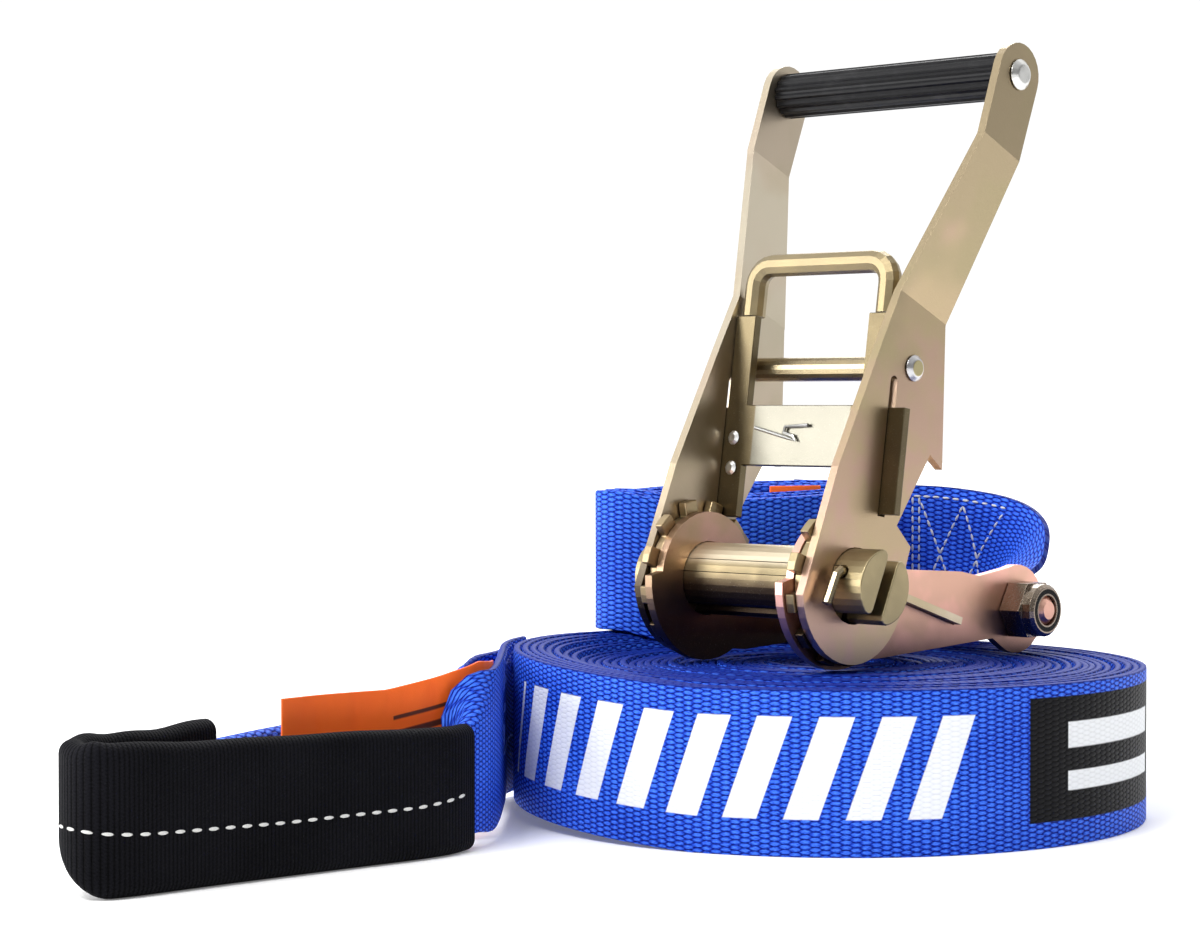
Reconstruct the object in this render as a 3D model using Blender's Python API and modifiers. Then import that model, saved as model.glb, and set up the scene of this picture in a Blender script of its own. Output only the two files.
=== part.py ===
"""Slackline kit: a wound main line with a sleeved eye, and a ratchet on its own short strap.

Metres, +Z up. The origin is the middle of the wound main line's underside, on the ground.
Ratchet pieces are drawn side on: s runs from the spool towards the rear bolt, t runs up.
"""

from math import acos, atan2, cos, hypot, pi, radians, sin, tau

import bmesh
import bpy
from mathutils import Vector

# Webbing
WEBBING_WIDTH = 0.050
WEBBING_THICKNESS = 0.0021
SEAT_GAP = 0.0003

# Wound main line
COIL_RADIUS = 0.1045
COIL_PITCH = 0.0027
COIL_LOOPS = 24
LOOP_POINTS = 24
COIL_END_ANGLE = radians(128)
CORE_POINTS = 48

# Free end of the main line and its eye: route of the strip seen from above
EYE_ROUTE = [
    (-0.0816, 0.0685),
    (-0.0969, 0.0515),
    (-0.1048, 0.0381),
    (-0.1135, 0.0180),
    (-0.1350, -0.0100),
    (-0.1590, -0.0500),
    (-0.1770, -0.0870),
    (-0.1905, -0.1200),
    (-0.2045, -0.1440),
    (-0.2165, -0.1590),
    (-0.2205, -0.1705),
    (-0.2140, -0.1797),
    (-0.2035, -0.1760),
    (-0.1800, -0.1540),
    (-0.1500, -0.1270),
    (-0.1240, -0.1035),
    (-0.1165, -0.0925),
    (-0.1080, -0.0640),
    (-0.1066, -0.0200),
    (-0.1066, 0.0050),
    (-0.1048, 0.0220),
    (-0.1006, 0.0365),
]
ROUTE_STEPS = 3
SLEEVE_FIRST = 7
SLEEVE_LAST = 16
FOLDED_WIDTH = 0.0325
FOLD_SHARE = 0.05
SLEEVE_WALL = 0.0016
SLEEVE_SECTION_POINTS = 12
LABEL_HEIGHT = 0.0475
LABEL_THICKNESS = 0.0008
LABEL_ROUTE = [
    (-0.1088, -0.0400),
    (-0.1094, -0.0550),
    (-0.1135, -0.0660),
    (-0.1230, -0.0730),
    (-0.1400, -0.0820),
    (-0.1570, -0.0930),
    (-0.1690, -0.1040),
]

# Ratchet strap, wound and standing on the main coil
STRAP_CENTRE = (-0.022, 0.092)
STRAP_HALF_LENGTH = 0.056
STRAP_HALF_DEPTH = 0.025
STRAP_TILT = radians(20)
STRAP_PITCH = 0.0033
STRAP_LOOPS = 4
STRAP_END_ANGLE = radians(60)
STRAP_RISE = 0.006
STRAP_END_ROUTE = [
    ((0.0380, 0.1225), 0.0800, 90),
    ((0.0520, 0.1180), 0.0793, 88),
    ((0.0640, 0.1090), 0.0778, 80),
    ((0.0700, 0.0970), 0.0766, 64),
    ((0.0700, 0.0850), 0.0758, 44),
    ((0.0655, 0.0750), 0.0749, 24),
    ((0.0600, 0.0660), 0.0740, 10),
]
STRAP_TAIL = 0.012
STRAP_LABEL_ANGLES = (radians(276), radians(291), radians(306))
STRAP_LABEL_HEIGHT = 0.030
STRAP_LABEL_TOP = 0.1055

# Where the ratchet lies
SPOOL_PLACE = (-0.020, -0.0185)
RATCHET_TURN = radians(45.4)

# Stack of plates, from the middle of the ratchet outwards
PLATE = 0.003
STRAP_SIDE_GAP = 0.0015
INSIDE_HALF = WEBBING_WIDTH / 2 + STRAP_SIDE_GAP
WHEEL_THICKNESS = 0.0032
WHEEL_INSIDE = INSIDE_HALF + PLATE + SEAT_GAP
HANDLE_OUTSIDE = WHEEL_INSIDE + WHEEL_THICKNESS + SEAT_GAP + PLATE
FLARE = 0.0150
SHAFT_END = 0.0125

# Base plate outline
BASE_DISC_RADIUS = 0.022
BASE_LOBE_RADIUS = 0.027
BOLT_PLACE = (0.0940, -0.012)
BOLT_END_RADIUS = 0.015
BASE_TOP_LINE = [(0.073, 0.000), (0.0636, 0.0018), (0.036, 0.0035)]
BASE_BOTTOM_LINE = [(0.0187, -0.0246), (0.0805, -0.0213)]

# Spool
SHAFT_RADIUS = 0.012
SHAFT_SLOT = 0.005
SHAFT_CORNER = 0.0022
SHAFT_CLEARANCE = 0.0003
SLOT_LEAN = radians(25)
WHEEL_TEETH = 12
WHEEL_TIP_RADIUS = 0.026
WHEEL_ROOT_RADIUS = 0.0215
WHEEL_GAP_ANGLE = radians(55.5)
ROOT_HALF_GAP = radians(7)
TIP_HALF_GAP = radians(8.5)
COTTER_RADIUS = 0.0016
COTTER_BESIDE = 0.0042
COTTER_HOLE_RADIUS = 0.0019
COTTER_END = 0.0155
COTTER_SHORT_SHARE = 0.86
COTTER_CORNER = 0.0022
COTTER_LEAN = 0.0045
COTTER_LEG = 0.0110

# Handle
HANDLE_END_RADIUS = 0.025
HANDLE_FRONT_EDGE = [(0.0464, 0.1440), (0.0230, 0.094), (0.0128, 0.076), (-0.0080, 0.038)]
HANDLE_BACK_EDGE = [
    (0.0252, 0.0040),
    (0.0280, 0.0114),
    (0.0210, 0.0185),
    (0.0380, 0.0410),
    (0.0443, 0.0360),
    (0.0459, 0.0827),
    (0.0655, 0.1369),
]
GRIP_PLACE = (0.0653, 0.1650)
GRIP_END_RADIUS = 0.0105
GRIP_RADIUS = 0.0078
BEND_ACROSS = (0.423, 0.906)
LOWER_BEND = 0.095
UPPER_BEND = 0.1515
CROSS_TUBE_PLACE = (0.0295, 0.069)
CROSS_TUBE_RADIUS = 0.004
PIN_RADIUS = 0.003
GRIP_PIN_HEAD = 0.0055
CROSS_PIN_HEAD = 0.0047
HEAD_CROWN_SHARE = 0.6
HEAD_DEPTH_SHARE = 0.35
GRIP_RIBS = 16
GRIP_RIB_DEPTH = 0.0006

# Slider: it runs in a leaning slot in each handle plate
SLIDER_START = (0.0130, 0.0216)
SLIDER_RUN = (0.149, 0.989)
SLIDER_PLATE = 0.003
SLIDER_SLOT_LENGTH = 0.0455
SLIDER_TAB = (0.0006, 0.0350)
SLIDER_TAB_OUT = 0.0066
SLIDER_TIP = -0.0017
SLIDER_CROSS = (0.0156, 0.0358)
SLIDER_LEG_IN = 0.002
SLIDER_LEG_TOP = 0.066
PULL_BAR_PLACE = 0.0835
PULL_BAR_RADIUS = 0.0038
SLIDER_RIVETS = (0.0146, 0.0247)
PULL_BAR_CORNER = 0.007
RIVET_HEAD_RADIUS = 0.0024
SHANK_SHARE = 0.55
SPRING_RADIUS = 0.0032
SPRING_WIRE = 0.0006
SPRING_CURLS = 8
SPRING_CURL_POINTS = 9
SPRING_BEHIND = 0.0085
LEDGE_PLACE = 0.0205
LEDGE_HALF = 0.0042
LEDGE_DEPTH = 0.0125
CLIP_RADIUS = 0.0006
CLIP_ROUTE = [
    (0.0190, 0.0280), (0.0060, 0.0250), (0.0008, 0.0238), (0.0022, 0.0254),
    (0.0062, 0.0264), (0.0058, 0.0284), (-0.0040, 0.0290),
]

# Base pawl
BASE_PAWL_FRONT = (0.034, -0.0062)
BASE_PAWL_ANGLE = radians(-17.5)
BASE_PAWL_TAB = 0.027
BASE_PAWL_NOSE = 0.0082
BASE_PAWL_SHY = 0.0004
BASE_PAWL_THICKNESS = 0.0025
BASE_PAWL_WAIST = 0.009
BASE_PAWL_TRAVEL = 0.0045
GUARD_START = (0.040, -0.0192)
GUARD_ANGLE = radians(0)
GUARD_LENGTH = 0.016
GUARD_THICKNESS = 0.0025
LUG_FOOT = (0.0625, -0.0190)
LUG_HALF = 0.007
LUG_HEIGHT = 0.0095
LUG_TONGUE = 0.0075
PAWL_SPRING_RADIUS = 0.0016
PAWL_SPRING_WIRE = 0.0005
PAWL_SPRING_CURLS = 6

# Rear bolt
BOLT_RADIUS = 0.005
SPACER_RADIUS = 0.0076
SPACER_WALL = 0.0022
NUT_CORNER_RADIUS = 0.0105
NUT_DEPTH = 0.0080
COLLAR_RADIUS = 0.0089
COLLAR_DEPTH = 0.0045
BOLT_TIP = 0.0006
HEAD_DEPTH = 0.0055
THREAD_GAP = 0.0001

# Points of a mesh this close are one point
MERGE = 0.000001

COATED_STEEL = ((0.62, 0.53, 0.33, 1), 0.35, 1.0)
BARE_STEEL = ((0.66, 0.66, 0.64, 1), 0.30, 1.0)
BLUE_WEBBING = ((0.02, 0.05, 0.62, 1), 0.75, 0.0)
BLACK_WEBBING = ((0.02, 0.02, 0.022, 1), 0.85, 0.0)
BLACK_PLASTIC = ((0.02, 0.02, 0.022, 1), 0.50, 0.0)
ORANGE_LABEL = ((0.85, 0.20, 0.04, 1), 0.60, 0.0)

PARTS = bpy.data.collections.new("slackline")
CUTTERS = bpy.data.collections.new("cutters")


def clear_scene():
    for old in list(bpy.data.objects):
        bpy.data.objects.remove(old)
    bpy.context.scene.collection.children.link(PARTS)
    bpy.context.scene.collection.children.link(CUTTERS)
    CUTTERS.hide_render = True


def finish(piece, look):
    """Give a piece its own material."""
    colour, roughness, metallic = look
    material = bpy.data.materials.new(piece.name)
    material.use_nodes = True
    shader = material.node_tree.nodes["Principled BSDF"]
    shader.inputs["Base Color"].default_value = colour
    shader.inputs["Roughness"].default_value = roughness
    shader.inputs["Metallic"].default_value = metallic
    material.diffuse_color = colour
    piece.data.materials.clear()
    piece.data.materials.append(material)
    return piece


def add(name, data, holder=None, place=(0, 0, 0), turn=(0, 0, 0)):
    piece = bpy.data.objects.new(name, data)
    PARTS.objects.link(piece)
    piece.parent = holder
    piece.location = place
    piece.rotation_euler = turn
    return piece


def empty(name, holder=None, place=(0, 0, 0), turn=(0, 0, 0)):
    return add(name, None, holder, place, turn)


def smooth(piece, angle=radians(35)):
    piece.data.shade_smooth()
    piece.data.set_sharp_from_angle(angle=angle)


def solid_mesh(piece):
    """Turn a curve piece into a mesh piece with its modifiers applied."""
    bpy.context.view_layer.update()
    graph = bpy.context.evaluated_depsgraph_get()
    mesh = bpy.data.meshes.new_from_object(piece.evaluated_get(graph))
    shape = bmesh.new()
    shape.from_mesh(mesh)
    bmesh.ops.remove_doubles(shape, verts=shape.verts, dist=MERGE)
    bmesh.ops.recalc_face_normals(shape, faces=shape.faces)
    shape.to_mesh(mesh)
    shape.free()
    made = add(piece.name, mesh, piece.parent, piece.location, piece.rotation_euler)
    name = piece.name
    bpy.data.objects.remove(piece)
    made.name = name
    return made


def cut(piece, cutter, operation="DIFFERENCE", solver="EXACT"):
    """Apply one Boolean and put the cutter away."""
    PARTS.objects.unlink(cutter)
    CUTTERS.objects.link(cutter)
    cutter.hide_render = True
    cutter.display_type = "WIRE"
    step = piece.modifiers.new("cut", "BOOLEAN")
    step.operation = operation
    step.solver = solver
    step.object = cutter


def arc(centre, radius, start, stop, points):
    """Points on an arc, in the side view, angles in radians."""
    steps = points - 1
    return [
        (
            centre[0] + radius * cos(start + (stop - start) * i / steps),
            centre[1] + radius * sin(start + (stop - start) * i / steps),
        )
        for i in range(points)
    ]


def circle(centre, radius, points=24):
    return arc(centre, radius, 0, tau * (points - 1) / points, points)


def plate(name, outlines, thickness, holder, side, look):
    """A flat plate standing in the side view. The first outline is its edge, the rest are holes."""
    drawing = bpy.data.curves.new(name, "CURVE")
    drawing.dimensions = "2D"
    drawing.fill_mode = "BOTH"
    drawing.extrude = thickness / 2
    for number, outline in enumerate(outlines):
        line = drawing.splines.new("POLY")
        line.points.add(len(outline) - 1)
        for point, (s, t) in zip(line.points, outline if number == 0 else reversed(outline)):
            point.co = (s, t, 0, 1)
        line.use_cyclic_u = True
    piece = add(name, drawing, holder, (0, side, 0), (pi / 2, 0, 0))
    return finish(piece, look)


def turned(name, profile, holder, place, look, sides=16, ring=False):
    """A piece turned about the ratchet's cross direction. The profile is (reach along it, radius)."""
    mesh = bpy.data.meshes.new(name)
    shape = bmesh.new()
    points = [shape.verts.new((radius, reach, 0)) for reach, radius in profile]
    for a, b in zip(points, points[1:]):
        shape.edges.new((a, b))
    if ring:
        shape.edges.new((points[-1], points[0]))
    shape.to_mesh(mesh)
    shape.free()
    piece = add(name, mesh, holder, (place[0], 0, place[1]))
    screw = piece.modifiers.new("turn", "SCREW")
    screw.axis = "Y"
    screw.steps = sides
    screw.render_steps = sides
    screw.use_merge_vertices = True
    screw.merge_threshold = MERGE
    screw.use_normal_calculate = True
    screw.use_smooth_shade = True
    piece = solid_mesh(piece)
    smooth(piece)
    return finish(piece, look)


def tube_along(name, route, radius, holder, look, sides_setting=2):
    """A round bar bent along a route."""
    wire = bpy.data.curves.new(name, "CURVE")
    wire.dimensions = "3D"
    wire.bevel_depth = radius
    wire.bevel_resolution = sides_setting
    wire.use_fill_caps = True
    line = wire.splines.new("POLY")
    line.points.add(len(route) - 1)
    for point, spot in zip(line.points, route):
        point.co = (*spot, 1)
        point.radius = 1
    return finish(add(name, wire, holder), look)


def smooth_route(points, steps):
    """A smooth line through hand-placed points, with this many steps between them."""
    spots = [Vector(p) for p in points]
    spots = [2 * spots[0] - spots[1]] + spots + [2 * spots[-1] - spots[-2]]
    route = []
    for a, b, c, d in zip(spots, spots[1:], spots[2:], spots[3:]):
        for i in range(steps):
            k = i / steps
            route.append(
                (2 * b + (c - a) * k + (2 * a - 5 * b + 4 * c - d) * k**2
                 + (3 * b - a - 3 * c + d) * k**3) / 2
            )
    route.append(spots[-2])
    return route


def ribbon(name, stations, thickness, look):
    """A flat strip. Each station is the strip's middle and half its width as a vector."""
    mesh = bpy.data.meshes.new(name)
    shape = bmesh.new()
    lengths = len(stations) - 1
    bmesh.ops.create_grid(shape, x_segments=lengths, y_segments=1, size=1)
    for vertex in shape.verts:
        middle, half = stations[round((vertex.co.x + 1) / 2 * lengths)]
        vertex.co = Vector(middle) + Vector(half) * (1 if vertex.co.y > 0 else -1)
    shape.to_mesh(mesh)
    shape.free()
    piece = add(name, mesh)
    shell = piece.modifiers.new("thickness", "SOLIDIFY")
    shell.thickness = thickness
    shell.offset = 0
    shell.use_even_offset = True
    return finish(piece, look)


def upright(spots, width, foot=0.0):
    """Stations of a strip standing on its edge along flat spots."""
    return [((x, y, foot + width / 2), (0, 0, width / 2)) for x, y in spots]


def least_gap(spots, apart, thickness):
    """The least gap between a strip's face and its next turn, measured on the strip's points."""
    least = 1.0
    for i, p in enumerate(spots):
        for a, b in zip(spots[i + apart:], spots[i + apart + 1:]):
            along = (b[0] - a[0], b[1] - a[1])
            share = ((p[0] - a[0]) * along[0] + (p[1] - a[1]) * along[1]) / (hypot(*along) ** 2)
            share = min(1, max(0, share))
            least = min(least, hypot(a[0] + along[0] * share - p[0], a[1] + along[1] * share - p[1]))
    return least - thickness


def coil_spots():
    """The wound main line, from its inner end out to where it leaves the coil."""
    count = COIL_LOOPS * LOOP_POINTS
    spots = []
    for i in range(count + 1):
        loops_left = (count - i) / LOOP_POINTS
        angle = COIL_END_ANGLE - tau * loops_left
        radius = COIL_RADIUS - COIL_PITCH * loops_left
        spots.append((radius * cos(angle), radius * sin(angle)))
    return spots


def main_line():
    """The wound line, its plain core and the free end that makes the eye."""
    spots = coil_spots()
    print("main coil, least gap to itself, mm:",
          round(1000 * least_gap(spots, LOOP_POINTS - 2, WEBBING_THICKNESS), 2))
    ribbon("main_webbing_coil", upright(spots, WEBBING_WIDTH), WEBBING_THICKNESS, BLUE_WEBBING)
    core_radius = COIL_RADIUS - COIL_PITCH * (COIL_LOOPS + 1) - WEBBING_THICKNESS / 2
    mesh = bpy.data.meshes.new("main_coil_core")
    shape = bmesh.new()
    bmesh.ops.create_cone(
        shape, cap_ends=True, segments=CORE_POINTS, radius1=core_radius, radius2=core_radius,
        depth=WEBBING_WIDTH,
    )
    shape.to_mesh(mesh)
    shape.free()
    core = add("main_coil_core", mesh, place=(0, 0, WEBBING_WIDTH / 2))
    smooth(core)
    finish(core, BLUE_WEBBING)
    eye(spots)


def eye_width(share):
    """Width of the free end: full, folded inside the sleeve, then full again."""
    first = (SLEEVE_FIRST + 1) / len(EYE_ROUTE)
    last = (SLEEVE_LAST + 1) / len(EYE_ROUTE)
    folded = min(1, (share - first) / FOLD_SHARE + 1, (last - share) / FOLD_SHARE + 1)
    return WEBBING_WIDTH + (FOLDED_WIDTH - WEBBING_WIDTH) * max(0, folded)


def eye(spots):
    """The free end of the main line, its sleeve and its label."""
    end = Vector(spots[-1])
    leaving = (end - Vector(spots[-2])).normalized()
    route = smooth_route([tuple(end + leaving * SEAT_GAP)] + EYE_ROUTE, ROUTE_STEPS)
    stations = []
    for i, (x, y) in enumerate(route):
        width = eye_width(i / (len(route) - 1))
        foot = sleeve_foot() * (WEBBING_WIDTH - width) / (WEBBING_WIDTH - FOLDED_WIDTH)
        stations.append(((x, y, foot + width / 2), (0, 0, width / 2)))
    ribbon("main_line_eye", stations, WEBBING_THICKNESS, BLUE_WEBBING)
    sleeve_route = route[(SLEEVE_FIRST + 1) * ROUTE_STEPS:(SLEEVE_LAST + 1) * ROUTE_STEPS]
    eye_sleeve(sleeve_route)
    label = smooth_route(LABEL_ROUTE, ROUTE_STEPS)
    ribbon("eye_label", upright(label, LABEL_HEIGHT), LABEL_THICKNESS, ORANGE_LABEL)


def sleeve_foot():
    """Height of the folded webbing's lower edge inside the sleeve, which lies on the ground."""
    return SLEEVE_WALL + SEAT_GAP + WEBBING_THICKNESS / 2


def eye_sleeve(route):
    """A flat hose that the folded webbing runs through."""
    half_depth = WEBBING_THICKNESS / 2 + SEAT_GAP
    section = bpy.data.curves.new("sleeve_section", "CURVE")
    section.dimensions = "2D"
    line = section.splines.new("POLY")
    half_turn = SLEEVE_SECTION_POINTS // 2
    straight = FOLDED_WIDTH / 2
    outline = arc((0, straight), half_depth, 0, pi, half_turn)
    outline += arc((0, -straight), half_depth, pi, tau, half_turn)
    line.points.add(len(outline) - 1)
    for point, (x, y) in zip(line.points, outline):
        point.co = (x, y, 0, 1)
    line.use_cyclic_u = True
    outline_object = bpy.data.objects.new("sleeve_section", section)
    CUTTERS.objects.link(outline_object)
    outline_object.hide_render = True
    hose = bpy.data.curves.new("eye_sleeve", "CURVE")
    hose.dimensions = "3D"
    hose.twist_mode = "Z_UP"
    hose.bevel_mode = "OBJECT"
    hose.bevel_object = outline_object
    line = hose.splines.new("POLY")
    line.points.add(len(route) - 1)
    height = sleeve_foot() + FOLDED_WIDTH / 2
    for point, (x, y) in zip(line.points, route):
        point.co = (x, y, height, 1)
    piece = add("eye_sleeve", hose)
    shell = piece.modifiers.new("wall", "SOLIDIFY")
    shell.thickness = SLEEVE_WALL
    shell.offset = -1
    shell.use_even_offset = True
    finish(piece, BLACK_WEBBING)


def strap_spot(inset, angle):
    """A point of the strap's long round loop, this far inside its outermost turn."""
    length = (STRAP_HALF_LENGTH - inset) * cos(angle)
    depth = (STRAP_HALF_DEPTH - inset) * sin(angle)
    return (
        STRAP_CENTRE[0] + length * cos(STRAP_TILT) - depth * sin(STRAP_TILT),
        STRAP_CENTRE[1] + length * sin(STRAP_TILT) + depth * cos(STRAP_TILT),
    )


def strap_spots():
    """The wound ratchet strap, from its inner end out to where it runs off to the bolt."""
    count = STRAP_LOOPS * LOOP_POINTS
    spots = []
    for i in range(count + 1):
        loops_left = (count - i) / LOOP_POINTS
        spots.append(strap_spot(STRAP_PITCH * loops_left, STRAP_END_ANGLE + tau * loops_left))
    return spots


def strap_height(y):
    """Height of the strap's middle: the far side lies a little higher than the near side."""
    depth = 2 * (STRAP_HALF_DEPTH + STRAP_HALF_LENGTH * sin(STRAP_TILT))
    share = (y - STRAP_CENTRE[1]) / depth + 0.5
    return WEBBING_WIDTH + SEAT_GAP + WEBBING_WIDTH / 2 + STRAP_RISE * max(0, share)


def side_place(s, t, across=0.0):
    """A point of the ratchet's side view in the whole object's frame."""
    return Vector((
        SPOOL_PLACE[0] + s * cos(RATCHET_TURN) - across * sin(RATCHET_TURN),
        SPOOL_PLACE[1] + s * sin(RATCHET_TURN) + across * cos(RATCHET_TURN),
        spool_height() + t,
    ))


def spool_height():
    return WEBBING_WIDTH + SEAT_GAP + BASE_LOBE_RADIUS


def strap_end_stations(first, leaving):
    """From the wound strap, through the quarter twist, then round the spacer on the rear bolt."""
    sideways = Vector((sin(RATCHET_TURN), -cos(RATCHET_TURN), 0))
    half = WEBBING_WIDTH / 2
    start = (first.x + leaving.x * SEAT_GAP, first.y + leaving.y * SEAT_GAP)
    spots = [(start, strap_height(start[1]), 90)] + STRAP_END_ROUTE
    wrap = SPACER_RADIUS + SEAT_GAP + WEBBING_THICKNESS / 2
    route = [Vector((x, y, z)) for (x, y), z, twist in spots]
    twists = [twist for spot, z, twist in spots]
    for s, t in arc(BOLT_PLACE, wrap, radians(70), radians(290), 12):
        route.append(side_place(s, t))
        twists.append(0)
    stations = []
    smooth_points = smooth_route([tuple(p) for p in route[:len(spots) + 1]], ROUTE_STEPS)
    for i, middle in enumerate(smooth_points):
        k = min(i / ROUTE_STEPS, len(spots))
        low = twists[int(k)]
        high = twists[min(int(k) + 1, len(twists) - 1)]
        twist = radians(low + (high - low) * (k - int(k)))
        across = sideways * cos(twist) + Vector((0, 0, 1)) * sin(twist)
        stations.append((middle, across * half))
    for middle in route[len(spots) + 1:]:
        stations.append((middle, sideways * half))
    tail = side_place(BOLT_PLACE[0] + wrap + STRAP_TAIL, BOLT_PLACE[1] - wrap / 2)
    stations.append((tail, sideways * half))
    return stations


def ratchet_strap():
    spots = strap_spots()
    print("strap coil, least gap to itself, mm:",
          round(1000 * least_gap(spots, LOOP_POINTS - 4, WEBBING_THICKNESS), 2))
    stations = [
        ((x, y, strap_height(y)), (0, 0, WEBBING_WIDTH / 2)) for x, y in spots
    ]
    ribbon("ratchet_strap_coil", stations, WEBBING_THICKNESS, BLUE_WEBBING)
    first = Vector(spots[-1])
    leaving = (first - Vector(spots[-2])).normalized()
    ribbon("ratchet_strap_end", strap_end_stations(first, leaving), WEBBING_THICKNESS, BLUE_WEBBING)
    spots = []
    for angle in STRAP_LABEL_ANGLES:
        turns_in = STRAP_LOOPS - 1 + (angle - STRAP_END_ANGLE) / tau
        inset = STRAP_PITCH * turns_in + WEBBING_THICKNESS / 2 + SEAT_GAP + LABEL_THICKNESS / 2
        spots.append(strap_spot(inset, angle))
    foot = STRAP_LABEL_TOP - STRAP_LABEL_HEIGHT
    ribbon("strap_label", upright(spots, STRAP_LABEL_HEIGHT, foot), LABEL_THICKNESS, ORANGE_LABEL)


def handle_side():
    """Cross distance of the middle of a handle plate below its bends."""
    return HANDLE_OUTSIDE - PLATE / 2


def base_outline():
    bx, bt = BOLT_PLACE
    top_join = atan2(BASE_TOP_LINE[-1][1], BASE_DISC_RADIUS)
    disc = arc((0, 0), BASE_DISC_RADIUS, top_join, radians(172), 18)
    lobe = arc((0, 0), BASE_LOBE_RADIUS, radians(176), radians(297), 16)
    end = arc((bx, bt), BOLT_END_RADIUS, radians(-125), radians(110), 18)
    return disc + lobe + BASE_BOTTOM_LINE + end + BASE_TOP_LINE


def along_base_pawl(distance, off=0.0):
    """A point on the base pawl's plane: distance runs from its slot's front end towards the bolt."""
    run = (cos(BASE_PAWL_ANGLE), sin(BASE_PAWL_ANGLE))
    return (
        BASE_PAWL_FRONT[0] + distance * run[0] - off * run[1],
        BASE_PAWL_FRONT[1] + distance * run[1] + off * run[0],
    )


def slot_outline(along, start, stop, half, round_end=False):
    """A slot drawn from a function that places points along it. Its far end is square or round."""
    far = [(stop, -half), (stop, half)]
    if round_end:
        far = arc((stop - half, 0), half, -pi / 2, pi / 2, 7)
    return [along(start, -half)] + [along(*spot) for spot in far] + [along(start, half)]


def along_slider(distance, off=0.0):
    """A point on the slider's plane: distance runs up its slot, off is behind the plane."""
    run = Vector(SLIDER_RUN).normalized()
    return (
        SLIDER_START[0] + distance * run.x + off * run.y,
        SLIDER_START[1] + distance * run.y - off * run.x,
    )


def base(frame):
    side = INSIDE_HALF + PLATE / 2
    pawl_slot = slot_outline(
        along_base_pawl, -BASE_PAWL_TRAVEL - SEAT_GAP, BASE_PAWL_TAB + SEAT_GAP,
        BASE_PAWL_THICKNESS / 2 + SEAT_GAP,
    )
    outlines = [
        base_outline(),
        circle((0, 0), SHAFT_RADIUS + SHAFT_CLEARANCE),
        circle(BOLT_PLACE, BOLT_RADIUS + SEAT_GAP),
        pawl_slot,
    ]
    plate("base_plate_left", outlines, PLATE, frame, side, COATED_STEEL)
    plate("base_plate_right", outlines, PLATE, frame, -side, COATED_STEEL)
    reach = INSIDE_HALF - SEAT_GAP
    half = [(reach, 0), (reach, GUARD_LENGTH), (LUG_HALF, GUARD_LENGTH),
            (LUG_HALF, GUARD_LENGTH + LUG_TONGUE)]
    guard = cross_plate("base_guard_plate", frame, GUARD_START, GUARD_ANGLE, mirrored(half),
                        GUARD_THICKNESS)
    lug_outline = mirrored([(LUG_HALF, 0), (LUG_HALF, LUG_HEIGHT)])
    lug = cross_plate("guard_lug", frame, LUG_FOOT, BASE_PAWL_ANGLE + pi / 2, lug_outline,
                      GUARD_THICKNESS)
    cut(solid_mesh(guard), solid_mesh(lug), "UNION")


def cross_plate(name, holder, start, angle, outline, thickness, holes=()):
    """A plate across the ratchet. Its outline is (across, along), and it slopes up at this angle."""
    drawing = bpy.data.curves.new(name, "CURVE")
    drawing.dimensions = "2D"
    drawing.fill_mode = "BOTH"
    drawing.extrude = thickness / 2
    for number, points in enumerate([outline, *holes]):
        line = drawing.splines.new("POLY")
        line.points.add(len(points) - 1)
        for point, (across, along) in zip(line.points, points if number == 0 else reversed(points)):
            point.co = (along, across, 0, 1)
        line.use_cyclic_u = True
    piece = add(name, drawing, holder, (start[0], 0, start[1]), (0, -angle, 0))
    return finish(piece, COATED_STEEL)


def mirrored(half):
    """A whole outline from its right half, listed from the bottom up."""
    return half + [(-across, along) for across, along in reversed(half)]


def base_pawl(frame):
    """The sliding plate whose two noses drop between the wheels' teeth."""
    guide = empty("base_pawl_guide", frame, (BASE_PAWL_FRONT[0], 0, BASE_PAWL_FRONT[1]))
    inner = INSIDE_HALF - SEAT_GAP
    reach = WHEEL_INSIDE + WHEEL_THICKNESS - BASE_PAWL_SHY
    half = [
        (inner, 0), (WHEEL_INSIDE, 0), (WHEEL_INSIDE, -BASE_PAWL_NOSE),
        (reach, -BASE_PAWL_NOSE), (reach, BASE_PAWL_TAB),
        (inner, BASE_PAWL_TAB), (inner, BASE_PAWL_TAB - BASE_PAWL_WAIST),
    ]
    cross_plate("base_pawl", guide, (0, 0), BASE_PAWL_ANGLE, mirrored(half), BASE_PAWL_THICKNESS)
    run = Vector((cos(BASE_PAWL_ANGLE), 0, sin(BASE_PAWL_ANGLE)))
    lug = Vector((LUG_FOOT[0] - BASE_PAWL_FRONT[0], 0, LUG_FOOT[1] - BASE_PAWL_FRONT[1]))
    start = run * (BASE_PAWL_TAB - BASE_PAWL_WAIST + SEAT_GAP)
    stop = run * (lug.dot(run) - GUARD_THICKNESS / 2 - SEAT_GAP)
    spring("base_pawl_spring", guide, start, stop, PAWL_SPRING_RADIUS, PAWL_SPRING_WIRE,
           PAWL_SPRING_CURLS)


def spring(name, holder, start, stop, radius, wire, curls):
    """A wound spring between two points in the side view."""
    along = (stop - start).normalized()
    start = start + along * wire
    stop = stop - along * wire
    across = Vector((0, 1, 0))
    up = along.cross(across)
    count = curls * SPRING_CURL_POINTS
    route = []
    for i in range(count + 1):
        angle = tau * i / SPRING_CURL_POINTS
        turn = (across * cos(angle) + up * sin(angle)) * radius
        route.append(start + (stop - start) * (i / count) + turn)
    return tube_along(name, route, wire, holder, BARE_STEEL, 1)


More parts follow.
